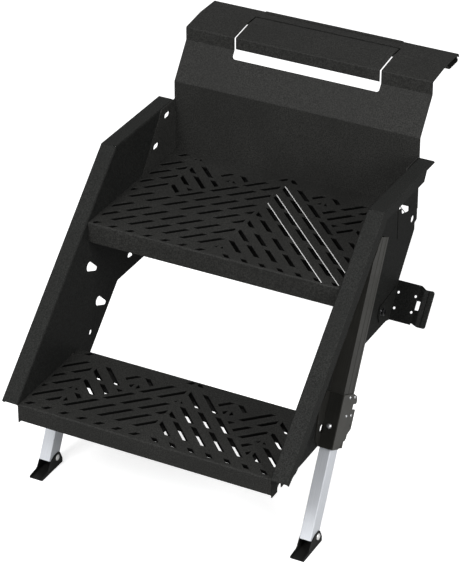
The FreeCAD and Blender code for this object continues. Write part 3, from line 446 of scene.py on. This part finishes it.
def tread_material(node):
    """The sprayed coat of a tread, with painted shade on the walls of its slots."""
    material = coat_material(node + "_coat", **sprayed_finishes()["powder_coat"])
    tree = material.node_tree
    shader = tree.nodes["Principled BSDF"]
    seen = shader.inputs["Base Color"].links[0].from_socket
    low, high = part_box(node)
    place = tree.nodes.new("ShaderNodeSeparateXYZ")
    tree.links.new(object_place(tree), place.inputs["Vector"])
    fold = 0.004  # the front and back folds get no painted shade
    fade = 0.0005  # over which the painted shade fades out before a fold
    edge, wall = 0.0002, 0.0009  # below the top, where the painted shade starts
    last, least = 0.0001, 0.00002  # above the underside, where the painted shade ends
    under = high.z - TREAD_SHEET
    below = spread(tree, place.outputs["Z"], high.z - wall, high.z - edge, 1.0, 0.0)
    above = spread(tree, place.outputs["Z"], under + least, under + last, 0.0, 1.0)
    depth = arithmetic(tree, "MULTIPLY", below, above)
    front = spread(tree, place.outputs["Y"], low.y + fold, low.y + fold + fade, 0.0, 1.0)
    back = spread(tree, place.outputs["Y"], high.y - fold - fade, high.y - fold, 1.0, 0.0)
    # share of painted shade: on the slots' walls, away from the front and back folds
    inner = arithmetic(tree, "MULTIPLY", arithmetic(tree, "MULTIPLY", front, back), depth)
    coat = settings().coat
    painted_slot_shade = scaled(coat.colour, coat.slot_shade)
    tree.links.new(mixed(tree, inner, seen, painted_slot_shade), shader.inputs["Base Color"])
    return material


def metal_material(name, colour, shade, roughness, lean=0.0, marks=0.0009, stretch=0.01, metallic=1.0,
                   gloss=0.5):
    """A bare, plated or painted metal with marks along one direction."""
    material, tree, shader = blank_material(name)
    node = tree.nodes.new("ShaderNodeGroup")
    node.node_tree = drawn_group()
    tree.links.new(object_place(tree, lean), node.inputs["Place"])
    node.inputs["Marks"].default_value = 1 / marks
    node.inputs["Stretch"].default_value = stretch
    tone = spread(tree, node.outputs["Mark"], *NOISE, 0.0, 1.0)
    tree.links.new(mixed(tree, tone, colour, shade), shader.inputs["Base Color"])
    by_mark = 0.05  # how far the marks move the roughness
    cleaner, duller = -0.04, 0.06  # how far the smudges do
    smudged = (0.35, 0.65)  # of the noise, where a smudge starts and is full
    rough = arithmetic(tree, "ADD", spread(tree, node.outputs["Mark"], *NOISE, roughness - by_mark,
                                           roughness + by_mark),
                       spread(tree, node.outputs["Smudge"], *smudged, cleaner, duller))
    tree.links.new(rough, shader.inputs["Roughness"])
    shader.inputs["Metallic"].default_value = metallic
    shader.inputs["Specular IOR Level"].default_value = gloss
    bump(tree, node.outputs["Mark"], distance=0.00003, strength=0.35, shader=shader)
    return material


def sprayed_finishes():
    """What coat_material takes for each sprayed or moulded finish."""
    coat = settings().coat
    colour, fleck, panel = tuple(coat.colour), tuple(coat.fleck), tuple(coat.panel)
    return {
        "powder_coat": dict(colour=colour, fleck=fleck, roughness=coat.roughness, gloss=coat.gloss,
                            grain=coat.grain),
        # painted shade: the side panels' coat, darker than the treads' coat
        "shaded_panel_coat": dict(colour=panel, fleck=scaled(panel, 2.7), roughness=coat.roughness,
                           gloss=0.55 * coat.gloss, grain=coat.grain),
        # painted shade: the coat darkened by slot_shade, for the shade inside the slots
        "slot_shade_coat": dict(colour=scaled(colour, coat.slot_shade),
                          fleck=scaled(colour, 1.5 * coat.slot_shade), roughness=0.7, gloss=0.05,
                          grain=coat.grain),
        # painted shade: half the coat's colour, for the shade under the treads
        "stiffener_shade_coat": dict(colour=scaled(colour, 0.5), fleck=scaled(fleck, 0.6), roughness=0.65,
                           gloss=0.5 * coat.gloss, grain=coat.grain),
        "foot_coat": dict(colour=scaled(colour, 0.7), fleck=colour, roughness=0.34, gloss=coat.gloss,
                          grain=0.7 * coat.grain),
        "black_plastic": dict(colour=(0.010, 0.010, 0.010), fleck=(0.018, 0.018, 0.018), roughness=0.45,
                              gloss=0.4, grain=0.0006, depth=0.00003),
    }


def metal_finishes():
    """What metal_material takes for each bare, plated or painted metal."""
    coat, metal = settings().coat, settings().metal
    colour, fleck = tuple(coat.colour), tuple(coat.fleck)
    aluminium, zinc = tuple(metal.aluminium), tuple(metal.zinc)
    return {
        "ribbed_black": dict(colour=(0.036, 0.0355, 0.032), shade=(0.054, 0.053, 0.047), roughness=0.36,
                             lean=LEG_LEAN, metallic=0.35),
        "drawn_aluminium": dict(colour=aluminium, shade=scaled(aluminium, 0.9), roughness=0.36,
                                lean=LEG_LEAN, marks=metal.drawn, metallic=0.3),
        "zinc_plate": dict(colour=zinc, shade=(0.66, 0.65, 0.60), roughness=0.24, marks=0.0006,
                           stretch=0.5),
        "dark_zinc": dict(colour=(0.10, 0.10, 0.105), shade=(0.16, 0.16, 0.165), roughness=0.22,
                          marks=0.0006, stretch=0.5),
        "pale_pin": dict(colour=(0.95, 0.95, 0.94), shade=(0.88, 0.88, 0.87), roughness=0.30,
                         marks=0.0006, stretch=0.5, metallic=0.25),
        "black_steel": dict(colour=(0.05, 0.05, 0.05), shade=(0.08, 0.08, 0.078), roughness=0.36,
                            marks=0.0008, stretch=0.4),
        # painted highlight: near-white metal on a few creases, standing in for glints on them
        "painted_highlight_crease": dict(colour=(0.96, 0.96, 0.95), shade=(0.90, 0.90, 0.89), roughness=0.3,
                              marks=0.0006, stretch=0.5, metallic=0.2),
        "weld": dict(colour=colour, shade=fleck, roughness=0.45, marks=0.001, stretch=1.0, metallic=0.0,
                     gloss=coat.gloss),
    }


def finish(name):
    """The finish of that name, made when it is first asked for."""
    if name in bpy.data.materials:
        return bpy.data.materials[name]
    sprayed = sprayed_finishes()
    if name in sprayed:
        return coat_material(name, **sprayed[name])
    return metal_material(name, **metal_finishes()[name])


def lit_and_shaded_finish(name, node, border, near, far):
    """That finish with painted light and shade: its tone scaled by near towards the step's middle and by far
    past the border.
    """
    material = finish(name).copy()
    material.name = node + "_" + name
    tree = material.node_tree
    shader = tree.nodes["Principled BSDF"]
    seen = shader.inputs["Base Color"].links[0].from_socket
    place = tree.nodes.new("ShaderNodeSeparateXYZ")
    tree.links.new(object_place(tree), place.inputs["Vector"])
    across = arithmetic(tree, "ABSOLUTE", place.outputs["X"], 0.0)
    scale = tree.nodes.new("ShaderNodeVectorMath")
    scale.operation = "SCALE"
    tree.links.new(seen, scale.inputs[0])
    # the painted light and shade change over this width
    change = 0.0004  # over which the tone changes
    tree.links.new(spread(tree, across, border, border + change, near, far), scale.inputs["Scale"])
    tree.links.new(scale.outputs["Vector"], shader.inputs["Base Color"])
    return material.name


def clothe(material, *nodes):
    """Give CAD nodes their finish."""
    for node in nodes:
        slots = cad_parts[node].material_slots
        if not slots:
            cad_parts[node].data.materials.append(finish(material))
        for slot in slots:
            slot.material = finish(material)


# Pieces

def crease(bm, start, end, z, radius, height, index):
    """A half-round ridge on the sheet from start to end, as (x, y)."""
    a, b = Vector((*start, z)), Vector((*end, z))
    run = b - a
    made = bmesh.ops.create_cone(bm, cap_ends=True, segments=10, radius1=radius, radius2=radius,
                                 depth=run.length)
    verts = made["verts"]
    along = Vector((0, 0, 1)).rotation_difference(run.normalized()).to_matrix().to_4x4()
    squash = Matrix.Diagonal((1, 1, height / radius, 1))
    place = Matrix.Translation((a + b) / 2)
    bmesh.ops.transform(bm, matrix=place @ squash @ along, verts=verts)
    faces = {f for v in verts for f in v.link_faces}
    for face in faces:
        face.material_index = index


def crease_lines(low, high, lines, size):
    """The creases of a tread's right half, from its middle ridge, as (start, end, line)."""
    border = size.first + (lines - 0.5) * size.pitch
    ridge = border - size.peak
    front_fold, back_fold, end_fold = 0.004, 0.012, 0.005  # kept free of creases
    front, back = front_fold, high.y - low.y - back_fold
    side = high.x - end_fold
    shortest = 0.01
    beyond = 7  # lines that start past the middle ridge's foot
    land, peak = size.land, size.peak
    found = []

    def add(lean, foot, near, far, line):
        """Keep the part of the line y = foot + lean * x between near and far that lies on the tread."""
        ends = sorted(((front - foot) / lean, (back - foot) / lean))
        x0, x1 = max(near, land, ends[0]), min(far, side, ends[1])
        if x1 - x0 > shortest:
            found.append(((x0, foot + lean * x0), (x1, foot + lean * x1), line))

    for line in range(lines + beyond):
        c = size.first + line * size.pitch + size.beside
        if line < lines:
            add(-1, c, land, side, line)
            continue
        add(-1, c, peak + land, side, line)
        add(-1, c, peak / 2 + land, (c - ridge) / 2, line)
        add(1, c - peak, (border + peak - c) / 2, peak / 2 - land, line)
        if c - 2 * peak <= ridge:
            add(1, c - 2 * peak, (border + 2 * peak - c) / 2, peak - land, line)
    return found


class STEP_OT_treads(Operator):
    """Coat both treads and their stiffeners, with painted shade in the slots and on the stiffeners"""
    bl_idname = "entry_step.treads"
    bl_label = "Treads"

    def execute(self, context):
        for node in ("lower_tread", "upper_tread"):
            clothe(tread_material(node).name, node)
        clothe("stiffener_shade_coat", "lower_tread_stiffeners", "upper_tread_stiffeners")
        return {"FINISHED"}


class STEP_OT_creases(Operator):
    """Press the creases beside the treads' slots, a few with a painted highlight"""
    bl_idname = "entry_step.creases"
    bl_label = "Tread creases"

    # painted highlight: which creases of the upper tread's right half get near-white metal
    bright: IntProperty(name="First bright line", description="First line whose crease shines", default=5,
                        min=0)
    highlight_lines: IntProperty(name="Bright lines", description="How many creases shine", default=3, min=0)

    def execute(self, context):
        size = settings().crease
        highlighted = range(self.bright, self.bright + self.highlight_lines)
        for node, lines, middle in (("lower_tread", size.lower_lines, size.lower_middle),
                                    ("upper_tread", size.upper_lines, size.upper_middle)):
            low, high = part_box(node)
            bm = bmesh.new()
            for start, end, line in crease_lines(low, high, lines, size):
                for side in (1, -1):
                    # painted highlight on the chosen lines of the upper tread's right half
                    index = int(node == "upper_tread" and side > 0 and line in highlighted)
                    ends = [(middle + side * x, low.y + y) for x, y in (start, end)]
                    crease(bm, *ends, high.z, size.radius, size.height, index)
            piece = finish_mesh(bm, node + "_creases", [finish("powder_coat"), finish("painted_highlight_crease")])
            mount(piece)
        return {"FINISHED"}


class STEP_OT_slot_rims(Operator):
    """Draw the rims of the treads' slots down under the sheet"""
    bl_idname = "entry_step.slot_rims"
    bl_label = "Slot rims"

    depth: FloatProperty(name="Depth", description="Depth of a rim under the sheet", default=0.0052,
                         min=0.0005, max=0.02, unit="LENGTH")
    wall: FloatProperty(name="Wall", description="Thickness of a rim", default=0.0011, min=0.0003, max=0.004,
                        unit="LENGTH")

    def slot_edges(self, bm, high):
        """The lower edges of the slots' cut walls."""
        under = high.z - TREAD_SHEET
        upright = 0.01  # an upright wall's normal rises less than this
        found = []
        for edge in bm.edges:
            if any(abs(v.co.z - under) > TOUCH for v in edge.verts) or len(edge.link_faces) != 2:
                continue
            middle = (edge.verts[0].co + edge.verts[1].co) / 2
            if abs(middle.x) > high.x - 2 * TREAD_SHEET or middle.y > high.y - TREAD_SHEET:
                continue
            walls = [f for f in edge.link_faces if abs(f.normal.z) < upright]
            if len(walls) == 1 and max(v.co.z for v in walls[0].verts) > high.z - TOUCH:
                found.append(edge)
        return found

    def execute(self, context):
        for node in ("lower_tread", "upper_tread"):
            bm = merged_copy(node)
            edges = self.slot_edges(bm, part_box(node)[1])
            made = bmesh.ops.extrude_edge_only(bm, edges=edges)["geom"]
            walls = [g for g in made if isinstance(g, bmesh.types.BMFace)]
            lower = [g for g in made if isinstance(g, bmesh.types.BMVert)]
            bmesh.ops.translate(bm, verts=lower, vec=(0, 0, -self.depth))
            keep = set(walls)
            bmesh.ops.delete(bm, geom=[f for f in bm.faces if f not in keep], context="FACES")
            for island in separate(bm):
                centre = sum((v.co for v in island), Vector()) / len(island)
                for face in {f for v in island for f in v.link_faces}:
                    if face.normal.dot(face.calc_center_median() - centre) < 0:
                        face.normal_flip()
            bmesh.ops.solidify(bm, geom=list(bm.faces), thickness=self.wall)
            # the rims carry the painted shade of the slots
            piece = finish_mesh(bm, node + "_slot_rims", [finish("slot_shade_coat")])
            mount(piece)
        return {"FINISHED"}


class STEP_OT_welds(Operator):
    """Lay the short welds that hold the treads' end flanges to the side panels"""
    bl_idname = "entry_step.welds"
    bl_label = "Tread welds"

    flange: FloatProperty(name="Flange", description="Depth of the end flanges", default=0.026, min=0.005,
                          max=0.1, unit="LENGTH")
    bead: FloatProperty(name="Bead", description="Length of a weld", default=0.028, min=0.005, max=0.1,
                        unit="LENGTH")
    gap: FloatProperty(name="Gap", description="Distance between welds", default=0.052, min=0.01, max=0.3,
                       unit="LENGTH")
    size: FloatProperty(name="Size", description="Radius of a weld", default=0.0017, min=0.0005, max=0.01,
                        unit="LENGTH")
    ripple: FloatProperty(name="Ripple", description="How much a weld swells and shrinks", default=0.12,
                          min=0, max=0.5)
    ripples: FloatProperty(name="Ripples", description="Swellings along a weld", default=4.0, min=1, max=20)

    def execute(self, context):
        cuts = 11
        ahead, behind = 0.5 * self.gap, 1.2 * self.gap  # kept free of welds
        for node in ("lower_tread", "upper_tread"):
            low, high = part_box(node)
            height = high.z - self.flange
            bm = bmesh.new()
            start = low.y + ahead
            while start + self.bead < high.y - behind:
                for x in (low.x, high.x):
                    crease(bm, (x, start), (x, start + self.bead), height, self.size, self.size, 0)
                start += self.bead + self.gap
            along = [e for e in bm.edges if abs(e.verts[0].co.y - e.verts[1].co.y) > 0.5 * self.bead]
            bmesh.ops.subdivide_edges(bm, edges=along, cuts=cuts)
            for vert in bm.verts:
                swell = 1 + self.ripple * math.sin(vert.co.y * math.tau * self.ripples / self.bead)
                side = high.x if vert.co.x > 0 else low.x
                vert.co.x = side + (vert.co.x - side) * swell
                vert.co.z = height + (vert.co.z - height) * swell
            piece = finish_mesh(bm, node + "_welds", [finish("weld")])
            mount(piece)
        return {"FINISHED"}


class STEP_OT_side_panels(Operator):
    """Coat both side panels, with painted light on their flanges and painted shade on their webs"""
    bl_idname = "entry_step.side_panels"
    bl_label = "Side panels"

    # painted shade on the webs and painted light on the flanges, as shares of the coat's tone
    web_shade: FloatProperty(name="Web", description="Tone of the webs against the coat", default=0.78, min=0,
                            max=5)
    flange_light: FloatProperty(name="Flanges", description="Tone of the flanges against the coat",
                               default=1.12, min=0, max=5)
    web: FloatProperty(name="Web's outer face", description="From the treads' ends", default=0.0023,
                       min=0.001, max=0.01, unit="LENGTH")

    def execute(self, context):
        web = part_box("upper_tread")[1].x + self.web
        for side, _ in SIDES:
            node = side + "_side_panel"
            clothe(lit_and_shaded_finish("shaded_panel_coat", node, web, self.web_shade, self.flange_light), node)
        return {"FINISHED"}


class STEP_OT_riser(Operator):
    """Coat the riser with its threshold, channel and strip"""
    bl_idname = "entry_step.riser"
    bl_label = "Riser and threshold"

    def execute(self, context):
        clothe("powder_coat", "riser_panel", "threshold_channel", "rear_strip")
        return {"FINISHED"}


class STEP_OT_handle(Operator):
    """Coat the lift handle and its hinge"""
    bl_idname = "entry_step.handle"
    bl_label = "Lift handle"

    def execute(self, context):
        clothe("powder_coat", "lift_handle", "hinge_lugs")
        clothe("black_steel", "hinge_pin")
        return {"FINISHED"}


class STEP_OT_brackets(Operator):
    """Coat the fixing brackets with painted shade, and painted light on their folded ends"""
    bl_idname = "entry_step.brackets"
    bl_label = "Fixing brackets"

    # tone: painted shade of the brackets; end_light: painted light on their folded ends
    tone: FloatProperty(name="Tone", description="Tone of the brackets against the coat", default=0.78,
                        min=0, max=5)
    end_light: FloatProperty(name="Ends", description="Tone of the folded ends against the coat", default=2.2,
                            min=0, max=5)
    end: FloatProperty(name="End", description="Width of a folded end", default=0.012, min=0.001, max=0.05,
                       unit="LENGTH")

    def execute(self, context):
        for side, _ in SIDES:
            node = side + "_mount_bracket"
            border = max(abs(corner.x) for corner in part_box(node)) - self.end
            clothe(lit_and_shaded_finish("shaded_panel_coat", node, border, self.tone, self.end_light), node)
        return {"FINISHED"}


class STEP_OT_bracket_fasteners(Operator):
    """Make the brackets' bolts, washers and nuts"""
    bl_idname = "entry_step.bracket_fasteners"
    bl_label = "Bracket fasteners"

    across_flats: FloatProperty(name="Across flats", description="Size of the hexagons", default=0.013,
                                min=0.005, max=0.03, unit="LENGTH")
    shank: FloatProperty(name="Shank", description="Diameter of the bolts", default=0.008, min=0.003,
                         max=0.02, unit="LENGTH")
    pitch: FloatProperty(name="Pitch", description="Pitch of the thread", default=0.00125, min=0.0005,
                         max=0.003, unit="LENGTH")
    threads: IntProperty(name="Threads", description="Turns of thread on a bolt", default=8, min=0, max=50)
    chamfer: FloatProperty(name="Chamfer", description="Chamfer of the heads and nuts", default=0.0011,
                           min=0.0001, max=0.003, unit="LENGTH")
    turn: FloatProperty(name="Turn", description="How far the hexagons are turned",
                        default=math.radians(15), subtype="ANGLE")

    def execute(self, context):
        bolts, washers, nuts = bmesh.new(), bmesh.new(), bmesh.new()
        seat = max(abs(low.x) for low, _ in islands("bracket_washers"))
        thread_depth = 0.6 * self.pitch
        crest, valley, rise = 0.2, 0.5, 0.8  # shares of a turn
        edge, play = 0.0003, 0.0002  # of a washer
        for low, high in islands("bracket_bolts"):
            side, y, z, tip, head = lie(low, high)
            out = Vector((side, 0, 0))
            hexagon(bolts, self.across_flats, (side * seat, y, z), out, head - seat, self.turn, self.chamfer)
            radius = self.shank / 2
            root = radius - thread_depth
            profile = [(0.0, tip), (root, tip), (radius, tip + self.pitch)]
            for thread in range(self.threads):
                height = tip + (thread + 1) * self.pitch
                profile += [(radius, height + self.pitch * crest), (root, height + self.pitch * valley),
                            (radius, height + self.pitch * rise)]
            profile += [(radius, seat), (0.0, seat)]
            turned(bolts, profile, Vector((0, y, z)), out, steps=20)
        for low, high in islands("bracket_washers"):
            side, y, z, inner, outer = lie(low, high)
            rim = (high.y - low.y) / 2
            hole = self.shank / 2 + play
            profile = [(hole, inner), (rim - edge, inner), (rim, inner + edge), (rim, outer - edge),
                       (rim - edge, outer), (hole, outer), (hole, inner)]
            turned(washers, profile, Vector((0, y, z)), Vector((side, 0, 0)), steps=36)
        for low, high in islands("bracket_nuts"):
            side, y, z, inner, outer = lie(low, high)
            hexagon(nuts, self.across_flats, (side * outer, y, z), Vector((-side, 0, 0)), outer - inner,
                    self.turn, self.chamfer)
        for bm, node in ((bolts, "bracket_bolts"), (washers, "bracket_washers"), (nuts, "bracket_nuts")):
            piece = finish_mesh(bm, "zinc_" + node, [finish("dark_zinc")])
            mount(piece, nodes=[node])
        return {"FINISHED"}


class STEP_OT_sleeves(Operator):
    """Finish the ribbed sleeves and their collars, with painted shade on the collars' fronts and painted
    light on their outer faces
    """
    bl_idname = "entry_step.sleeves"
    bl_label = "Leg sleeves"

    # painted shade on the collars' fronts and painted light on their outer faces
    front_shade: FloatProperty(name="Front", description="Tone of the collars' fronts against the sleeves",
                              default=0.6, min=0, max=5)
    face_light: FloatProperty(name="Face", description="Tone of the collars' outer faces against the sleeves",
                             default=1.5, min=0, max=5)
    face: FloatProperty(name="Face's depth", description="Depth of a collar's outer face", default=0.0022,
                        min=0.0005, max=0.01, unit="LENGTH")

    def execute(self, context):
        for side, _ in SIDES:
            clothe("ribbed_black", side + "_leg_sleeve")
            node = side + "_leg_collar"
            border = max(abs(corner.x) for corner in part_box(node)) - self.face
            clothe(lit_and_shaded_finish("ribbed_black", node, border, self.front_shade, self.face_light), node)
        return {"FINISHED"}


class STEP_OT_rivets(Operator):
    """Make the domed rivets of the collars"""
    bl_idname = "entry_step.rivets"
    bl_label = "Collar rivets"

    head: FloatProperty(name="Head", description="Diameter of a rivet's head", default=0.006, min=0.003,
                        max=0.02, unit="LENGTH")
    dimple: FloatProperty(name="Dimple", description="Diameter of the hole left by the mandrel",
                          default=0.0014, min=0.0005, max=0.01, unit="LENGTH")
    shank: FloatProperty(name="Shank", description="Diameter of a rivet", default=0.004, min=0.001,
                         max=0.01, unit="LENGTH")
    height: FloatProperty(name="Height", description="Height of a rivet's head", default=0.0016, min=0.0005,
                          max=0.005, unit="LENGTH")

    def execute(self, context):
        edge = 0.0003  # from the head's foot to its widest
        lip, sink = 0.0002, 0.0013  # depths in the mandrel's hole
        foot, shoulder, crown = 0.97, 0.86, 0.6  # shares of the head's radius
        mouth, bottom = 1.25, 0.85  # shares of the hole's radius
        for side, sign in SIDES:
            node = side + "_collar_rivets"
            bm = bmesh.new()
            for low, high in islands(node):
                _, y, z, inner, outer = lie(low, high)
                radius = self.head / 2
                face = outer - self.height
                shank = self.shank / 2
                hole = self.dimple / 2
                profile = [(0, inner), (shank, inner), (shank, face), (radius * foot, face),
                           (radius, face + edge), (radius * shoulder, outer - 2 * edge),
                           (radius * crown, outer - edge / 2), (hole * mouth, outer),
                           (hole, outer - lip), (hole * bottom, outer - sink + lip / 2),
                           (0, outer - sink)]
                turned(bm, profile, Vector((0, y, z)), Vector((sign, 0, 0)), steps=28)
            piece = finish_mesh(bm, side + "_zinc_rivets", [finish("zinc_plate")])
            mount(piece, nodes=[node])
        return {"FINISHED"}


class STEP_OT_foot_pins(Operator):
    """Make the domed pins that the feet turn on"""
    bl_idname = "entry_step.foot_pins"
    bl_label = "Foot pins"

    head_height: FloatProperty(name="Head height", description="Height of each head", default=0.0026,
                               min=0.0005, max=0.01, unit="LENGTH")
    shank: FloatProperty(name="Shank", description="Diameter of the pin", default=0.008, min=0.002, max=0.02,
                         unit="LENGTH")

    def execute(self, context):
        dome_steps = 8
        shoulder, crown, mouth, bottom = 0.88, 0.5, 0.3, 0.2  # shares of the head's radius
        bevel, sink = 0.1, 0.5  # shares of the head's height
        for side, sign in SIDES:
            node = side + "_foot_pin"
            low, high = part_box(node)
            _, y, z, inner, outer = lie(low, high)
            rim = (high.y - low.y) / 2
            shank = self.shank / 2
            rise = self.head_height
            dome = [(rim * math.sin(turn), inner + rise * (1 - math.cos(turn)))
                    for turn in (math.pi / 2 * step / dome_steps for step in range(dome_steps + 1))]
            profile = dome + [(rim, inner + rise), (shank, inner + rise), (shank, outer - rise),
                              (rim, outer - rise), (rim, outer - sink * rise),
                              (rim * shoulder, outer - bevel * rise), (rim * crown, outer),
                              (rim * mouth, outer), (rim * bottom, outer - (sink - bevel) * rise),
                              (0, outer - sink * rise)]
            bm = bmesh.new()
            turned(bm, profile, Vector((0, y, z)), Vector((sign, 0, 0)), steps=36)
            piece = finish_mesh(bm, side + "_pale_foot_pin", [finish("pale_pin")])
            mount(piece, side + "_leg", [node])
        return {"FINISHED"}


class STEP_OT_legs(Operator):
    """Finish the leg tubes, their plugs, screws, levers and pins"""
    bl_idname = "entry_step.legs"
    bl_label = "Legs"

    def execute(self, context):
        for side, _ in SIDES:
            clothe("drawn_aluminium", side + "_leg_tube")
            clothe("black_plastic", side + "_leg_plug", side + "_lock_lever")
            clothe("black_steel", side + "_lever_pin")
            clothe("zinc_plate", side + "_collar_screw")
        return {"FINISHED"}


class STEP_OT_feet(Operator):
    """Coat the feet"""
    bl_idname = "entry_step.feet"
    bl_label = "Feet"

    def execute(self, context):
        for side, _ in SIDES:
            clothe("foot_coat", side + "_foot")
        return {"FINISHED"}


class STEP_OT_studio(Operator):
    """Set up the pale floor, the soft lights and the camera"""
    bl_idname = "entry_step.studio"
    bl_label = "Studio"

    def execute(self, context):
        studio = settings().studio
        ground = CAD_BOX[0].z
        white = (1, 1, 1, 1)
        floor_radius = 14.0
        open_sky = 1.05  # of the world as the camera sees it
        middle = Vector((0, -0.35, -0.3))  # where the lights point
        bm = bmesh.new()
        bmesh.ops.create_circle(bm, cap_ends=True, segments=96, radius=floor_radius)
        bmesh.ops.translate(bm, verts=bm.verts, vec=(0, 0, ground))
        material, tree, shader = blank_material("pale_floor")
        seen = tree.nodes.new("ShaderNodeLightPath").outputs["Is Camera Ray"]
        tones = mixed(tree, seen, (studio.bounce,) * 3, (studio.floor,) * 3)
        tree.links.new(tones, shader.inputs["Base Color"])
        shader.inputs["Roughness"].default_value = 1.0
        shader.inputs["Specular IOR Level"].default_value = 0.0
        shader.inputs["Emission Color"].default_value = white
        tree.links.new(arithmetic(tree, "MULTIPLY", seen, studio.glow), shader.inputs["Emission Strength"])
        floor = finish_mesh(bm, "floor", [material], smooth=False)
        floor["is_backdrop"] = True
        world = bpy.data.worlds.new("studio")
        world.use_nodes = True
        background = world.node_tree.nodes["Background"]
        background.inputs["Color"].default_value = white
        seen = world.node_tree.nodes.new("ShaderNodeLightPath").outputs["Is Camera Ray"]
        strength = spread(world.node_tree, seen, 0, 1, studio.sky, open_sky)
        world.node_tree.links.new(strength, background.inputs["Strength"])
        bpy.context.scene.world = world
        key_size, fill_size = 2.2, 2.0
        for name, place, size, power in (("key", studio.key_place, key_size, studio.key),
                                         ("fill", studio.fill_place, fill_size, studio.fill)):
            lamp = bpy.data.lights.new(name, "AREA")
            lamp.shape = "DISK"
            lamp.size = size
            lamp.energy = power
            holder = bpy.data.objects.new(name, lamp)
            holder.location = place
            holder.rotation_euler = (middle - Vector(place)).to_track_quat("-Z", "Y").to_euler()
            bpy.context.scene.collection.objects.link(holder)
        camera = bpy.data.cameras.new("camera")
        camera.sensor_fit = "VERTICAL"
        camera.sensor_height = 24.0
        camera.lens = studio.lens * camera.sensor_height
        camera.clip_end = 50.0
        holder = bpy.data.objects.new("camera", camera)
        holder.location = studio.place
        holder.rotation_euler = (math.pi / 2 - studio.elevation, 0, studio.azimuth)
        bpy.context.scene.collection.objects.link(holder)
        bpy.context.scene.camera = holder
        bpy.context.scene.view_settings.view_transform = "Standard"
        return {"FINISHED"}


class STEP_PT_sidebar(Panel):
    """Lists the step's pieces and settings"""
    bl_idname = "STEP_PT_sidebar"
    bl_label = "Entry step"
    bl_space_type = "VIEW_3D"
    bl_region_type = "UI"
    bl_category = "Entry Step"

    def draw(self, context):
        step = settings()
        for group in (step.coat, step.metal, step.crease, step.studio):
            box = self.layout.box()
            for name in group.bl_rna.properties.keys():
                if name not in ("rna_type", "name"):
                    box.prop(group, name)
        for operator in OPERATORS:
            self.layout.operator(operator.bl_idname)


GROUPS = (CoatSettings, MetalSettings, CreaseSettings, StudioSettings, EntryStepSettings)
OPERATORS = (STEP_OT_treads, STEP_OT_creases, STEP_OT_slot_rims, STEP_OT_welds, STEP_OT_side_panels,
             STEP_OT_riser, STEP_OT_handle, STEP_OT_brackets, STEP_OT_bracket_fasteners, STEP_OT_sleeves,
             STEP_OT_rivets, STEP_OT_foot_pins, STEP_OT_legs, STEP_OT_feet, STEP_OT_studio)


def register():
    for cls in (*GROUPS, *OPERATORS, STEP_PT_sidebar):
        bpy.utils.register_class(cls)
    bpy.types.Scene.entry_step = PointerProperty(type=EntryStepSettings)


def unregister():
    del bpy.types.Scene.entry_step
    for cls in reversed((*GROUPS, *OPERATORS, STEP_PT_sidebar)):
        bpy.utils.unregister_class(cls)


def main():
    register()
    for operator in OPERATORS:
        section, name = operator.bl_idname.split(".")
        getattr(getattr(bpy.ops, section), name)()
    boxes = {"cad": CAD_BOX, "visual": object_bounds()}
    {name: [list(corner) for corner in box] for name, box in boxes.items()}


if __name__ == "__main__":
    main()
